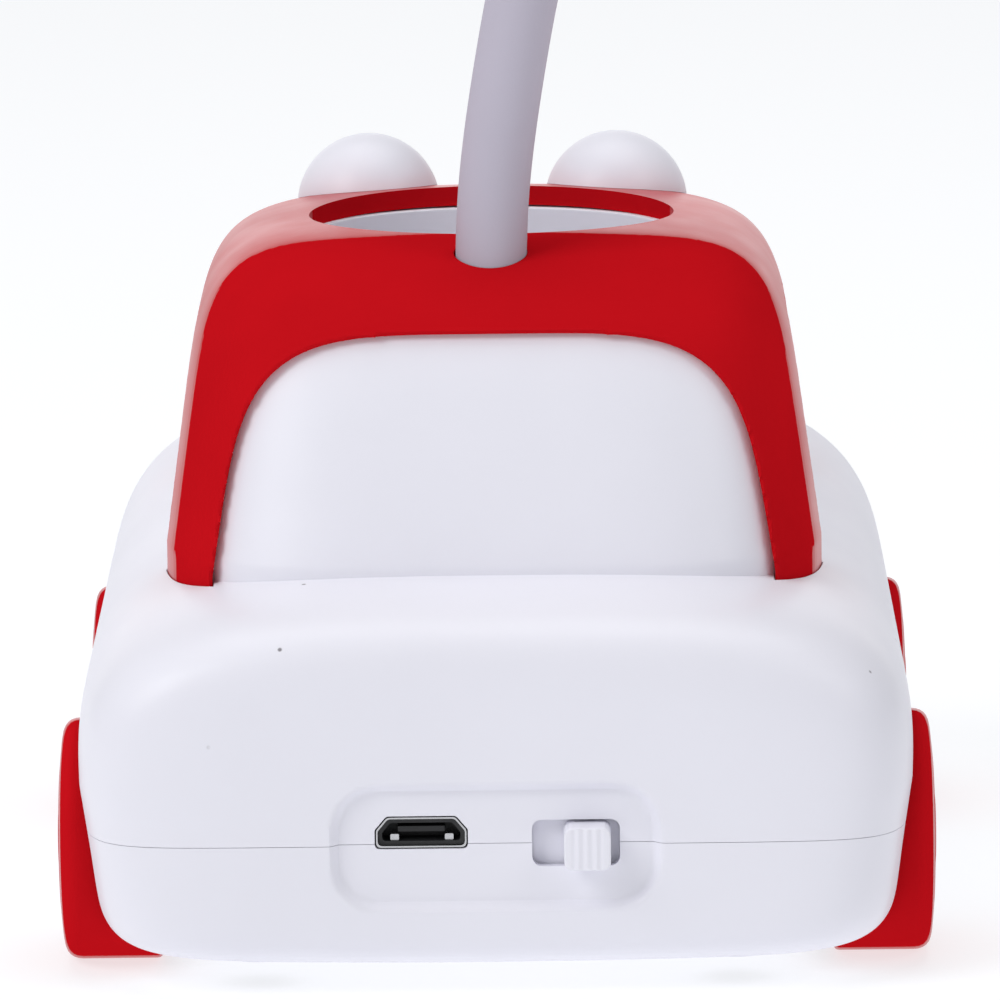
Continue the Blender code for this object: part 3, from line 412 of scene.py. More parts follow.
def frame_form(name, grow, inner):
    """The roof frame between two offsets of the cabin, with its windows cut out."""
    obj = cabin_form(name, grow)
    boolean(obj, "DIFFERENCE", cabin_form(name + "_in", inner))
    for cutter in window_cutters(name, grow):
        boolean(obj, "DIFFERENCE", cutter)
    return obj


# ---------------------------------------------------------------- materials
def node_material(name):
    made = bpy.data.materials.new(name)
    made.use_nodes = True
    tree = made.node_tree
    return made, tree, tree.nodes["Principled BSDF"]


def object_coordinates(tree):
    coordinates = tree.nodes.get("coordinates")
    if coordinates is None:
        coordinates = tree.nodes.new("ShaderNodeTexCoord")
        coordinates.name = "coordinates"
    return coordinates.outputs["Object"]


def noise(tree, scale, detail, coord=None, kind="ShaderNodeTexNoise"):
    texture = tree.nodes.new(kind)
    texture.inputs["Scale"].default_value = scale
    if "Detail" in texture.inputs:
        texture.inputs["Detail"].default_value = detail
    tree.links.new(coord or object_coordinates(tree), texture.inputs["Vector"])
    return texture


def ramp(tree, source, *stops):
    """A colour ramp between two stops, each a place and a colour."""
    made = tree.nodes.new("ShaderNodeValToRGB")
    for element, (place, colour) in zip(made.color_ramp.elements, stops):
        element.position = place
        element.color = (*colour, 1)
    tree.links.new(source, made.inputs["Fac"])
    return made.outputs["Color"]


def value_range(tree, source, low, high, from_low=0.3, from_high=0.7):
    made = tree.nodes.new("ShaderNodeMapRange")
    made.inputs["From Min"].default_value = from_low
    made.inputs["From Max"].default_value = from_high
    made.inputs["To Min"].default_value = low
    made.inputs["To Max"].default_value = high
    tree.links.new(source, made.inputs["Value"])
    return made.outputs["Result"]


def mix(tree, share, a, b):
    """Blends two colours; share is an output, and each colour is an output or three numbers."""
    made = tree.nodes.new("ShaderNodeMix")
    made.data_type = "RGBA"
    for source, socket in ((share, made.inputs[0]), (a, made.inputs[6]), (b, made.inputs[7])):
        if hasattr(source, "is_linked"):
            tree.links.new(source, socket)
        else:
            socket.default_value = (*source, 1)
    return made.outputs[2]


def bump(tree, shader, layers):
    """Layers of (texture output, height in millimetres)."""
    normal = None
    for source, height in layers:
        step = tree.nodes.new("ShaderNodeBump")
        step.inputs["Strength"].default_value = 1.0
        step.inputs["Distance"].default_value = height * MM
        tree.links.new(source, step.inputs["Height"])
        if normal:
            tree.links.new(normal, step.inputs["Normal"])
        normal = step.outputs["Normal"]
    tree.links.new(normal, shader.inputs["Normal"])


GRAZING_FROM, GRAZING_TO = 0.8, 0.87  # Layer Weight's Facing, where gloss turns to its grazing level
PLAIN_GLOSS = 0.4  # stands in for the two levels where only one number can be used


def plastic(
    name, colour, roughness, variation=0.03, grain=(4500, 0.004), waves=(120, 0.01), specular=0.5, specks=0.0
):
    """Moulded plastic: slight tone changes, a fine skin texture, broad sink marks and optional dust specks.

    Two specular values give the level seen straight on and at a grazing view.
    """
    made, tree, shader = node_material(name)
    tone = noise(tree, 45, 3)
    darker = tuple(c * (1 - variation) for c in colour)
    lighter = tuple(min(1.0, c * (1 + variation)) for c in colour)
    base = ramp(tree, tone.outputs["Fac"], (0.35, darker), (0.65, lighter))
    if specks:
        speck_colour = (0.12, 0.1, 0.12)
        dust = noise(tree, 260, 0, kind="ShaderNodeTexVoronoi")
        seldom = noise(tree, 90, 0)
        near = value_range(tree, dust.outputs["Distance"], 1, 0, 0.03, 0.06)
        rare = value_range(tree, seldom.outputs["Fac"], 0, 1, 0.66, 0.7)
        both = tree.nodes.new("ShaderNodeMath")
        both.operation = "MULTIPLY"
        tree.links.new(near, both.inputs[0])
        tree.links.new(rare, both.inputs[1])
        strength = value_range(tree, both.outputs[0], 0, specks, 0, 1)
        base = mix(tree, strength, base, speck_colour)
    tree.links.new(base, shader.inputs["Base Color"])
    patchy = noise(tree, 160, 4)
    rough = value_range(tree, patchy.outputs["Fac"], roughness * 0.88, roughness * 1.12)
    tree.links.new(rough, shader.inputs["Roughness"])
    if hasattr(specular, "__len__"):
        facing = tree.nodes.new("ShaderNodeLayerWeight")
        gloss = value_range(tree, facing.outputs["Facing"], *specular, GRAZING_FROM, GRAZING_TO)
        tree.links.new(gloss, shader.inputs["Specular IOR Level"])
        specular = PLAIN_GLOSS
    shader.inputs["Specular IOR Level"].default_value = specular
    broad, fine = noise(tree, waves[0], 1), noise(tree, grain[0], 2)
    bump(tree, shader, [(broad.outputs["Fac"], waves[1]), (fine.outputs["Fac"], grain[1])])
    return made


def metal(name, colour, roughness, stretch=(1, 1, 14)):
    """Drawn or turned metal, with fine streaks across Z."""
    made, tree, shader = node_material(name)
    mapping = tree.nodes.new("ShaderNodeMapping")
    mapping.inputs["Scale"].default_value = stretch
    tree.links.new(object_coordinates(tree), mapping.inputs["Vector"])
    streaks = noise(tree, 900, 3, mapping.outputs["Vector"])
    darker = tuple(c * 0.8 for c in colour)
    base = ramp(tree, streaks.outputs["Fac"], (0.3, darker), (0.7, colour))
    tree.links.new(base, shader.inputs["Base Color"])
    rough = value_range(tree, streaks.outputs["Fac"], roughness * 0.8, roughness * 1.25)
    tree.links.new(rough, shader.inputs["Roughness"])
    shader.inputs["Metallic"].default_value = 1.0
    bump(tree, shader, [(streaks.outputs["Fac"], 0.004)])
    return made


WHITE = (0.845, 0.84, 0.915)
RED = (0.55, 0.006, 0.011)
looks = {
    "white_plastic": plastic("white_abs", WHITE, 0.38, 0.012, specular=(0.3, 0.06), specks=0.8),
    "red_plastic": plastic(
        "red_abs", RED, 0.34, 0.05, grain=(2600, 0.008), waves=(90, 0.01), specular=(0.0, 1.0)
    ),
    "neck_rubber": plastic("neck_silicone", (0.50, 0.47, 0.56), 0.62, grain=(3000, 0.01), specular=0.35),
    "steel": metal("drawn_steel", (0.62, 0.62, 0.64), 0.28),
    "brass": metal("turned_brass", (0.76, 0.56, 0.27), 0.3, stretch=(1, 1, 20)),
    "black_plastic": plastic("black_nylon", (0.018, 0.018, 0.02), 0.5, 0.2),
    "circuit_board": plastic("solder_mask", (0.015, 0.17, 0.06), 0.4, 0.25, grain=(2500, 0.02)),
    "motor_plastic": plastic("motor_nylon", (0.70, 0.68, 0.60), 0.5, 0.04),
    "gear_plastic": plastic("gear_acetal", (0.80, 0.78, 0.68), 0.42, 0.03),
    "battery_wrap": plastic("battery_film", (0.02, 0.13, 0.4), 0.3, 0.1),
    "frosted_lens": plastic("frosted_diffuser", (0.90, 0.89, 0.84), 0.45, 0.01, grain=(2200, 0.02)),
    "headlight_lens": plastic("headlight_acrylic", (0.80, 0.82, 0.86), 0.12, 0.02, grain=(1500, 0.002)),
    "wire_insulation": plastic("wire_pvc", (0.45, 0.01, 0.01), 0.45, 0.1),
}
NODE_SLOTS = {s["node"]: s["material_slot"] for s in frame["record"]["subparts"]}


def paint(obj, slot):
    obj.data.materials.clear()
    obj.data.materials.append(looks[slot])


for name, obj in nodes.items():
    paint(obj, NODE_SLOTS[name])


def dress(obj, slot, body, *stands_for):
    """Gives a finished piece its material and its body, and hides the CAD nodes that it stands for."""
    paint(obj, slot)
    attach(obj, body)
    if stands_for:
        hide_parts(*stands_for)
    return obj


# ---------------------------------------------------------------- body shells
def wells(radius, inner_x, tag):
    """A cylinder at each wheel, from inner_x out past the body's side."""
    made = []
    for y in (-AXLE_Y, AXLE_Y):
        for sign in (-1, 1):
            start, end = (sign * inner_x, y, WHEEL_RADIUS), (sign * 42, y, WHEEL_RADIUS)
            made.append(cylinder(f"{tag}{y}{sign}", radius, start, end, 72))
    return made


def usb_outline(margin):
    half, low, high = 3.78 + margin, 12.8 - margin, 15.35 + margin
    shoulder, flat = 14.25 + margin / 2, 2.85 + margin / 2
    x = PORT_X
    corners = [
        (x, low), (x + half, low), (x + half, shoulder), (x + flat, high),
        (x - flat, high), (x - half, shoulder), (x - half, low), (x, low),
    ]
    return fillet(corners, [0, 0.45, 0.4, 0.5, 0.5, 0.4, 0.45, 0], 4)[:-1]


def sink_panel(points):
    """Presses the softly edged panel for the port and the switch into the rear face."""
    x, y, z = points.T
    qx = np.abs(x - PANEL_X) - (PANEL_HALF_WIDTH - PANEL_CORNER)
    qz = np.abs(z - PANEL_Z) - (PANEL_HALF_HEIGHT - PANEL_CORNER)
    outside = np.hypot(np.maximum(qx, 0), np.maximum(qz, 0))
    distance = outside + np.minimum(np.maximum(qx, qz), 0) - PANEL_CORNER
    t = np.clip((PANEL_EDGE / 2 - distance) / PANEL_EDGE, 0, 1)
    share = t * t * (3 - 2 * t) * (y < REAR_FACE_Y)
    points[:, 1] += (np.maximum(y, PANEL_Y) - y) * share


def plain_body(name, inset):
    """The body's form moved inwards, on a coarse grid."""
    coarse = lines(0.05)
    body = new_object(name, *body_surface(inset, coarse, coarse, coarse))
    face_outwards(body)
    return body


def whole_body():
    """Both halves in one, hollow, with the wheel arches and the openings for the port and the switch."""
    k = 1 if FINE else 2
    xs = lines(0.02 * k, (-0.43, -0.33, 0.007 * k), (0.33, 0.43, 0.007 * k))
    ys = lines(0.018 * k)
    zs = lines(0.026 * k, (-0.58, -0.44, 0.012 * k), (0.0, 0.13, 0.012 * k))
    points, faces = body_surface(0, xs, ys, zs)
    sink_panel(points)
    body = new_object("upper_body", points, faces)
    face_outwards(body)

    cavity = plain_body("cavity", BODY_WALL)
    boolean(cavity, "DIFFERENCE", merged("blocks", wells(ARCH_WALL_RADIUS, ARCH_WALL_X, "block")))
    boolean(body, "DIFFERENCE", cavity)
    port = prism("port", usb_outline(0.12), -60, -50)
    slot = prism("slot", rounded_rectangle(3.0, 11.1, 10.35, 15.05, 0.8), -60, -50)
    boolean(body, "DIFFERENCE", merged("openings", wells(ARCH_RADIUS, ARCH_X, "arch") + [port, slot]))
    return body


def finish_upper(upper):
    """Slots for the roof frame's feet, the cabin's hole, seats for the headlights, and screw bosses."""
    slots = frame_form("slots", 0.1, -FRAME_WALL - 0.1)
    boolean(slots, "INTERSECT", box("heights", (-60, -60, CABIN_FOOT_Z + 0.7), (60, 60, 42)))
    boolean(upper, "DIFFERENCE", slots)
    seats = [
        cylinder(f"seat{x}", 5.75, (x, 52, HEADLIGHT_Z), (x, 60, HEADLIGHT_Z), 72)
        for x in (-HEADLIGHT_X, HEADLIGHT_X)
    ]
    deck_hole = cabin_form("deck_hole", -FRAME_WALL - GAP - CABIN_WALL, 64, 16)
    boolean(upper, "DIFFERENCE", merged("holes", [deck_hole] + seats))

    bosses = [cylinder(f"b{x}{y}", 3, (x, y, 13.5), (x, y, 45), 32) for x, y in SCREW_PLACES]
    bosses = merged("bosses", bosses)
    boolean(bosses, "INTERSECT", plain_body("boss_limit", 0.7))
    boolean(upper, "UNION", bosses)
    pilots = [cylinder(f"p{x}{y}", 1.35, (x, y, 5), (x, y, 26), 24) for x, y in SCREW_PLACES]
    boolean(upper, "DIFFERENCE", merged("pilots", pilots))


def finish_lower(lower):
    """Screw tubes with their stepped bores, axle bearings and the bumper's peg holes."""
    tubes = [cylinder(f"t{x}{y}", 3.4, (x, y, 2.4), (x, y, 12.8), 40) for x, y in SCREW_PLACES]
    boolean(lower, "UNION", merged("tubes", tubes))
    way = [(0, 20), (1.35, 20), (1.35, 4.8), (2.6, 4.8), (2.6, 0), (0, 0)]
    ways = [
        turned(f"w{x}{y}", way, 40, Matrix.Translation((x * MM, y * MM, 0))) for x, y in SCREW_PLACES
    ]
    bearings = [
        cylinder(f"h{y}{side}", 1.3, (side * 24, y, WHEEL_RADIUS), (side * 30, y, WHEEL_RADIUS), 32)
        for y in (-AXLE_Y, AXLE_Y)
        for side in (-1, 1)
    ]
    pegs = [
        cylinder(f"g{x}", 1.4, (x, 49, BUMPER_PEG_Z), (x, 60, BUMPER_PEG_Z), 24)
        for x in (-BUMPER_PEG_X, BUMPER_PEG_X)
    ]
    boolean(lower, "DIFFERENCE", merged("lower_holes", ways + bearings + pegs))


def make_shells():
    upper = whole_body()
    lower = bpy.data.objects.new("lower_body", upper.data.copy())
    bpy.context.scene.collection.objects.link(lower)
    boolean(upper, "INTERSECT", box("above", (-99, -99, SEAM_Z + SEAM_HALF_GAP), (99, 99, 99)))
    boolean(lower, "INTERSECT", box("below", (-99, -99, -9), (99, 99, SEAM_Z - SEAM_HALF_GAP)))
    finish_upper(upper)
    finish_lower(lower)
    soften(upper, 30)
    soften(lower, 30)
    dress(upper, "white_plastic", "car", "upper_shell")
    dress(lower, "white_plastic", "car", "lower_shell")


# ---------------------------------------------------------------- cabin and roof
def make_cabin():
    """The white inner cabin, seen as the blank windows, open for the cup and the neck."""
    cabin = cabin_form("window_panels", -WINDOW_DEPTH)
    boolean(cabin, "DIFFERENCE", cabin_form("hollow", -FRAME_WALL - GAP - CABIN_WALL, 96, 30))
    boolean(cabin, "DIFFERENCE", box("foot", (-60, -60, 0), (60, 60, 29.9)))
    holes = [
        cylinder("cup_hole", CUP_OUTER_RADIUS + 0.3, (0, CUP_Y, 45), (0, CUP_Y, 70), 96),
        cylinder("neck_hole", 3.3, (0, NECK_Y, 52), (0, NECK_Y, 70), 40),
    ]
    boolean(cabin, "DIFFERENCE", merged("roof_holes", holes))
    soften(cabin, 30)
    dress(cabin, "white_plastic", "car")


def make_roof():
    """The red frame, with its edges rounded; its holes are cut last, so that their rims stay true."""
    roof = frame_form("roof", 0, -FRAME_WALL)
    boolean(roof, "DIFFERENCE", box("under", (-60, -60, 0), (60, 60, CABIN_FOOT_Z + 1)))
    exact = BVHTree.FromObject(roof, bpy.context.evaluated_depsgraph_get())
    voxel, rounds = (0.29, 8) if FINE else (0.5, 3)
    remesh(roof, voxel, rounds)
    for vertex in roof.data.vertices:
        nearest, _, _, distance = exact.find_nearest(vertex.co)
        vertex.co = vertex.co.lerp(nearest, min(1.0, max(0.0, 2 - distance / (ROOF_SNAP * MM))))
    holes = [
        cylinder("mouth", ROOF_HOLE_RADIUS, (0, CUP_Y, 45), (0, CUP_Y, 70), 192),
        cylinder("neck_way", NECK_RADIUS + 0.12, (0, NECK_Y, 45), (0, NECK_Y, 70), 96),
    ]
    boolean(roof, "DIFFERENCE", merged("mouths", holes))
    soften(roof, 50)
    dress(roof, "red_plastic", "car", "roof_frame")


def make_ears():
    """Domes on the roof: balls cut off where they meet it."""
    r = DOME_RADIUS
    for side, x in (("left", -DOME_X), ("right", DOME_X)):
        profile = [(r * math.sin(a), r * math.cos(a)) for a in (math.pi * i / 40 for i in range(41))]
        profile[0], profile[-1] = (0, r), (0, -r)
        place = Matrix.Translation((x * MM, DOME_Y * MM, DOME_Z * MM))
        ear = turned(f"roof_dome_{side}", profile, 80, place, 60)
        boolean(ear, "DIFFERENCE", cabin_form("under_dome", 0.03, 96, 30))
        soften(ear, 60)
        dress(ear, "white_plastic", "car", f"ear_{side}")


def make_cup():
    r, o, f = CUP_RADIUS, CUP_OUTER_RADIUS, CUP_FLOOR_Z
    corners = [
        (r, 50), (r, CUP_RIM_Z), (o, CUP_RIM_Z), (o, 54.6), (17.5, 54.6), (17.5, 53.5), (o, 53),
        (o, f - 1.3), (0, f - 1.3), (0, f), (r, f), (r, 50),
    ]
    radii = [0, 0.2, 0.2, 0, 0.3, 0.3, 0, 1.2, 0, 0, 1.6, 0]
    profile = fillet(corners, radii, 5)
    cup = turned("pen_cup_liner", profile, 128, Matrix.Translation((0, CUP_Y * MM, 0)))
    soften(cup, 30)
    dress(cup, "white_plastic", "car", "pen_cup")


# ---------------------------------------------------------------- wheels, bumper and headlights
def make_wheels():
    corners = [
        (0, 8.8), (3.1, 8.78), (3.25, 8.5), (3.55, 8.5), (3.7, 8.72), (6.9, 8.56), (7.05, 8.28),
        (7.35, 8.28), (7.5, 8.5), (10.3, 8.2), (10.3, 0.0), (9.2, 0.0), (9.0, 1.2), (4.2, 1.2),
        (4.0, 0.3), (1.3, 0.3), (1.3, 6.4), (0, 6.4),
    ]
    radii = [0, 0.1, 0.05, 0.05, 0.1, 0.1, 0.05, 0.05, 0.1, 2.0, 0.8, 0.2, 0.3, 0.3, 0.2, 0, 0, 0]
    profile = fillet(corners, radii, 6)
    for end, y in (("rear", -AXLE_Y), ("front", AXLE_Y)):
        for side, sign in (("left", -1), ("right", 1)):
            turn = Matrix.Rotation(sign * math.pi / 2, 4, "Y")
            place = Matrix.Translation((sign * WHEEL_INNER_X * MM, y * MM, WHEEL_RADIUS * MM)) @ turn
            wheel = turned(f"{end}_{side}_wheel", profile, 128, place, 35)
            dress(wheel, "red_plastic", f"{end}_axle_set", f"{end}_wheel_{side}")


def make_front():
    bumper = prism("bumper", rounded_rectangle(-25, 5.6, 25, 10.6, 1.6), 53.3, 55)
    pegs = [
        cylinder(f"peg{x}", 1.1, (x, 50, BUMPER_PEG_Z), (x, 54, BUMPER_PEG_Z), 32)
        for x in (-BUMPER_PEG_X, BUMPER_PEG_X)
    ]
    boolean(bumper, "UNION", merged("pegs", pegs))
    remesh(bumper, 0.2 if FINE else 0.4, 6)
    dress(bumper, "red_plastic", "car", "front_bumper")
    angles = [math.pi / 2 * i / 12 for i in range(13)]
    dome = [(5.5 * math.cos(a), 0.7 + 1.6 * math.sin(a)) for a in angles]
    profile = [(0, 2.3)] + dome[::-1][1:] + [(5.5, 0), (0, 0)]
    turn = Matrix.Rotation(-math.pi / 2, 4, "X")
    for side, x in (("left", -HEADLIGHT_X), ("right", HEADLIGHT_X)):
        place = Matrix.Translation((x * MM, 52.2 * MM, HEADLIGHT_Z * MM)) @ turn
        lens = turned(f"headlight_lens_{side}", profile, 96, place, 50)
        dress(lens, "headlight_lens", "car", f"headlight_{side}")


# ---------------------------------------------------------------- port and switch
def make_port():
    shell = prism("usb_can", usb_outline(0.0), -52.1, -46.6)
    boolean(shell, "DIFFERENCE", prism("bore", usb_outline(-0.13), -53, -47))
    soften(shell, 30)
    dress(shell, "steel", "car", "usb_shell")
    core = prism("usb_liner", usb_outline(-0.16), -51.75, -47.15)
    boolean(core, "DIFFERENCE", prism("inner", usb_outline(-0.5), -53, -49.4))
    tongue = box("tongue_bar", (-8.2, -51.2, 14.0), (-4.3, -48.8, 14.45))
    boolean(core, "UNION", tongue)
    soften(core, 30)
    dress(core, "black_plastic", "car", "usb_tongue")
    for side, sign in (("left", -1), ("right", 1)):
        x = -6.2 + sign * 2.28
        outline = rounded_rectangle(x - 0.36, 13.32, x + 0.36, 13.85, 0.12)
        tab = prism(f"usb_tab_{side}", outline, -51.5, -50.6)
        soften(tab, 30)
        dress(tab, "steel", "car")


def make_knob():
    x0, x1 = KNOB_X - KNOB_HALF_WIDTH, KNOB_X + KNOB_HALF_WIDTH
    knob = prism("slide_knob", rounded_rectangle(x0, 11.2, x1, 14.8, 0.7), -54.95, -50.7)
    voxel, rounds = (0.09, 7) if FINE else (0.2, 3)
    remesh(knob, voxel, rounds)
    # upright ribs on the knob's face, fading out towards its sides
    co = np.empty(len(knob.data.vertices) * 3)
    knob.data.vertices.foreach_get("co", co)
    co = co.reshape(-1, 3)
    across = co[:, 0] / MM - KNOB_X
    face = np.clip((-co[:, 1] / MM + KNOB_FACE_Y) / 0.3, 0, 1)
    inner = np.clip((1.5 - np.abs(across)) / 0.3, 0, 1)
    co[:, 1] -= RIB_DEPTH * MM * np.cos(across * 2 * math.pi / RIB_PITCH) * face * inner
    knob.data.vertices.foreach_set("co", co.ravel())
    plate = box("plate", (1.62, -50.9, 10.2), (13.62, -50.2, 16))
    stem = box("stem", (6.82, -50.4, 12.2), (8.42, -48.9, 13.8))
    whole = merged("slide_knob", [knob, plate, stem])
    soften(whole, 50)
    dress(whole, "white_plastic", "switch_slider", "switch_knob")


# ---------------------------------------------------------------- neck
NECK_ROUTE = [
    (0, -24, 46), (0, -24, 57), (0.5, -24, 66), (2.1, -23.7, 76.5),
    (4.3, -23.3, 87), (10, -20.8, 112), (13.2, -15.5, 138),
    (12, -9.5, 163), (8, -3.5, 187), (3, 3.5, 208), (0, 12, 224),
]
NECK_LENGTHS = 7
FIRST_BEND_Z = 66
SLEEVE_START = 11.5  # the sleeve's foot just under the roof, as a length along the centre line


def smooth_route(points, count):
    """Evenly spaced places on a smooth curve through the points."""
    knots = [Vector(p) for p in points]
    knots = [2 * knots[0] - knots[1]] + knots + [2 * knots[-1] - knots[-2]]
    made, spans = [], len(points) - 1
    for i in range(count):
        place = spans * i / (count - 1)
        span = min(int(place), spans - 1)
        t = place - span
        a, b, c, d = knots[span : span + 4]
        bend = (2 * a - 5 * b + 4 * c - d) * t**2 + (3 * b - a - 3 * c + d) * t**3
        made.append(0.5 * (2 * b + (c - a) * t + bend))
    return made


def neck_line():
    """The neck's centre line, its length so far at each point, and the lengths at which its joints lie."""
    line = smooth_route(NECK_ROUTE, 801)
    lengths = [0.0]
    for near, far in zip(line, line[1:]):
        lengths.append(lengths[-1] + (far - near).length)
    start = next(i for i, point in enumerate(line) if point.z >= FIRST_BEND_Z)
    span = (lengths[-1] - lengths[start]) / NECK_LENGTHS
    return line, lengths, [lengths[start] + k * span for k in range(NECK_LENGTHS + 1)]


def point_at(line, lengths, wanted):
    """The centre line's point at this length, and its direction there."""
    i = min(max(1, int(np.searchsorted(lengths, wanted))), len(line) - 1)
    share = (wanted - lengths[i - 1]) / (lengths[i] - lengths[i - 1])
    point = line[i - 1].lerp(line[i], min(1.0, share))
    return point, (line[min(i + 2, len(line) - 1)] - line[max(i - 3, 0)]).normalized()


def sleeve(name, line, lengths, start, end):
    """A thin-walled tube round the centre line between two lengths."""
    sides, steps = 64, max(4, int((end - start) / 0.5))
    angles = [2 * math.pi * i / sides for i in range(sides)]
    outer, inner = [], []
    for s in range(steps + 1):
        point, along = point_at(line, lengths, start + (end - start) * s / steps)
        u = Vector((0, 1, 0)).cross(along).normalized()
        v = along.cross(u)
        for radius, rings in ((NECK_RADIUS, outer), (NECK_BORE_RADIUS, inner)):
            rings.append([point + (u * math.cos(a) + v * math.sin(a)) * radius for a in angles])
    rings = outer + inner[::-1]
    verts = [p for ring in rings for p in ring]
    total = len(rings)
    faces = []
    for k in range(total):
        for i in range(sides):
            j, m = (i + 1) % sides, (k + 1) % total
            faces.append((k * sides + i, k * sides + j, m * sides + j, m * sides + i))
    obj = new_object(name, verts, faces, smooth_angle=50)
    face_outwards(obj)
    return obj


def make_neck():
    line, lengths, joints = neck_line()
    half = (joints[1] - joints[0]) / 2
    cuts = [SLEEVE_START] + [joint + half for joint in joints[:-1]]
    for k in range(1, NECK_LENGTHS + 1):
        skin = sleeve(f"neck_skin_{k}", line, lengths, cuts[k - 1], cuts[k])
        paint(skin, "neck_rubber")
        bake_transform(skin)
        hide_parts(f"neck_sleeve_{k - 1}")
    into_collar = 1.8
    tip = sleeve("neck_skin_tip", line, lengths, cuts[-1], joints[-1] + into_collar)
    dress(tip, "neck_rubber", f"neck_{NECK_LENGTHS}", f"neck_sleeve_{NECK_LENGTHS}")
    return point_at(line, lengths, joints[-2])[0], point_at(line, lengths, joints[-1])[0]


# ---------------------------------------------------------------- lamp head
def make_head(neck_start, neck_end):
    """The lamp head: its centre lies on the neck's last length, drawn on, and its face looks down ahead."""
    along = (neck_end - neck_start).normalized()
    tilt, neck_to_centre = math.radians(50), 31.5
    ahead = Vector((0, math.sin(tilt), -math.cos(tilt)))
    facing = (ahead - along * ahead.dot(along)).normalized()
    across = along.cross(facing)
    centre = neck_end + along * neck_to_centre
    place = Matrix.Translation(centre * MM) @ Matrix((across, along, facing)).transposed().to_4x4()
    body = f"neck_{NECK_LENGTHS}"
    r, wall, depth = 27.5, 1.6, 9

    def dome(reach, drop):
        angles = [math.pi / 2 * i / 24 for i in range(24)]
        return [(reach * math.cos(a), -drop * math.sin(a)) for a in angles] + [(0, -drop)]

    outside, inside = dome(r, depth), dome(r - wall, depth - wall)
    back = turned("head_shell", [(r - wall, 0.0), (r, 0.0)] + outside[1:] + inside[::-1], 160, place)
    dress(back, "white_plastic", body, "head_back")
    corners = [
        (r - 1.2, 4), (r + 0.5, 4), (r + 0.5, 0.3), (r - 3.6, 0.3),
        (r - 3.6, 1.5), (r - wall, 1.5), (r - wall, 4), (r - 1.2, 4),
    ]
    ring = turned("head_ring", fillet(corners, [0, 1.2, 0.6, 0.2, 0.2, 0, 0.3, 0], 6), 160, place)
    dress(ring, "red_plastic", body, "head_trim")
    corners = [(0, 4.2), (r - 6, 3.9), (r - 1.9, 3.3), (r - 1.9, 1.8), (0, 1.8)]
    lens = turned("head_diffuser_plate", fillet(corners, [0, 4, 0.3, 0.2, 0], 6), 160, place)
    dress(lens, "frosted_lens", body, "head_diffuser")

    start = neck_end - along * 2.6
    turn = along.to_track_quat("Z", "Y").to_matrix().to_4x4()
    collar_place = Matrix.Translation(start * MM) @ turn
    corners = [(3.4, 1), (3.4, 0), (4.6, 0), (5, 2), (5, 8.8), (0, 8.8), (0, 4.8), (3.4, 4.8), (3.4, 1)]
    collar = turned("neck_collar", fillet(corners, [0, 0.2, 0.5, 1, 0.2, 0, 0, 0.2, 0], 5), 96, collar_place)
    seat = [(0, 9), (r + 1.0, 9), (r + 1.0, -2), (r - 2, -6.5), (0, -11), (0, 9)]
    boolean(collar, "DIFFERENCE", turned("seat", seat[:-1], 160, place))
    soften(collar, 35)
    dress(collar, "white_plastic", body, "head_collar")


def make_screws():
    corners = [(0, 19), (1, 17), (1, 4.5), (2.2, 4.5), (2.2, 3.9), (1.7, 3.2), (0, 3.1)]
    profile = fillet(corners, [0, 0, 0, 0.1, 0.3, 0.8, 0], 4)
    for i, (x, y) in enumerate(SCREW_PLACES, 1):
        screw = turned(f"screw_{i}", profile, 64, Matrix.Translation((x * MM, y * MM, 0)))
        for across, along in ((1.3, 0.22), (0.22, 1.3)):
            blade = box("blade", (x - across, y - along, 2.5), (x + across, y + along, 3.8))
            boolean(screw, "DIFFERENCE", blade)
        soften(screw, 35)
        dress(screw, "steel", "car", f"case_screw_{i}")


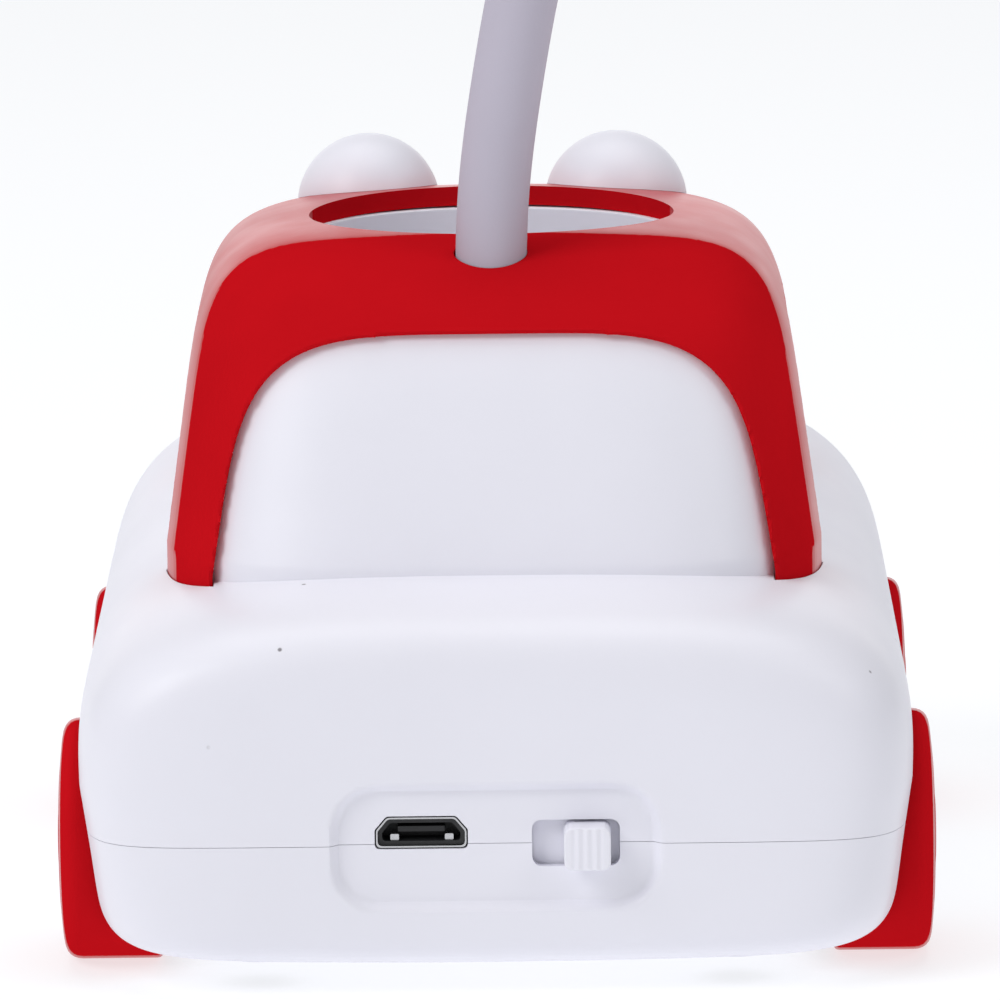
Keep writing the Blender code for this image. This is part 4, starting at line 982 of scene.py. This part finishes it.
# ---------------------------------------------------------------- studio
def make_studio():
    floor = bpy.data.objects.new("floor", bpy.data.meshes.new("floor"))
    floor.data.from_pydata([(-6, -6, 0), (6, -6, 0), (6, 6, 0), (-6, 6, 0)], [], [(0, 1, 2, 3)])
    bpy.context.scene.collection.objects.link(floor)
    made, _, shader = node_material("floor_paper")
    shader.inputs["Base Color"].default_value = (0.35, 0.35, 0.36, 1)
    shader.inputs["Roughness"].default_value = 0.9
    shader.inputs["Specular IOR Level"].default_value = 0.0
    shader.inputs["Emission Color"].default_value = (0.97, 0.985, 1.0, 1)
    shader.inputs["Emission Strength"].default_value = 0.72
    floor.data.materials.append(made)

    # the world is bright only beyond the car's front, which turns its grazing surfaces pale
    world = bpy.data.worlds.new("studio")
    bpy.context.scene.world = world
    world.use_nodes = True
    tree = world.node_tree
    background = tree.nodes["Background"]
    direction = tree.nodes.new("ShaderNodeTexCoord")
    parts = tree.nodes.new("ShaderNodeSeparateXYZ")
    tree.links.new(direction.outputs["Generated"], parts.inputs[0])
    forward = value_range(tree, parts.outputs["Y"], 0.22, 1.0, 0.84, 0.96)
    tree.links.new(mix(tree, forward, (0, 0, 0), (0.98, 0.985, 1.0)), background.inputs["Color"])
    background.inputs["Strength"].default_value = 1.4

    target = Vector((0, 0, 0.04))
    for name, place, size, power in (
        ("softbox_left", (-0.9, -0.7, 0.9), 0.7, 7.9),
        ("softbox_right", (0.9, -0.6, 0.8), 0.5, 2.2),
        ("softbox_top", (0.0, 0.1, 1.1), 0.8, 4.6),
    ):
        light = bpy.data.lights.new(name, "AREA")
        light.shape = "RECTANGLE"
        light.size = light.size_y = size
        light.energy = power
        obj = bpy.data.objects.new(name, light)
        bpy.context.scene.collection.objects.link(obj)
        obj.location = place
        obj.rotation_euler = (target - Vector(place)).to_track_quat("-Z", "Y").to_euler()


def make_camera():
    """A long lens behind the car, pitched down and very slightly rolled."""
    camera = bpy.data.objects.new("camera", bpy.data.cameras.new("camera"))
    bpy.context.scene.collection.objects.link(camera)
    camera.data.lens, camera.data.sensor_width = 358.02, 36.0
    pitch, yaw, roll = math.radians(9.2), -0.004507, math.radians(0.705)
    ahead = Vector((math.sin(yaw) * math.cos(pitch), math.cos(yaw) * math.cos(pitch), -math.sin(pitch)))
    right = ahead.cross(Vector((0, 0, 1))).normalized()
    up = right.cross(ahead)
    rolled_right = right * math.cos(roll) - up * math.sin(roll)
    rolled_up = up * math.cos(roll) + right * math.sin(roll)
    axes = Matrix((rolled_right, rolled_up, -ahead)).transposed().to_4x4()
    camera.matrix_world = Matrix.Translation((0.00435, -0.86755, 0.1742)) @ axes
    camera.data.clip_start, camera.data.clip_end = 0.05, 60
    bpy.context.scene.camera = camera
    bpy.context.scene.view_settings.view_transform = "Standard"


make_camera()
make_studio()
make_shells()
make_cabin()
make_roof()
make_ears()
make_cup()
make_wheels()
make_front()
make_port()
make_knob()
neck_start, neck_end = make_neck()
make_head(neck_start, neck_end)
make_screws()
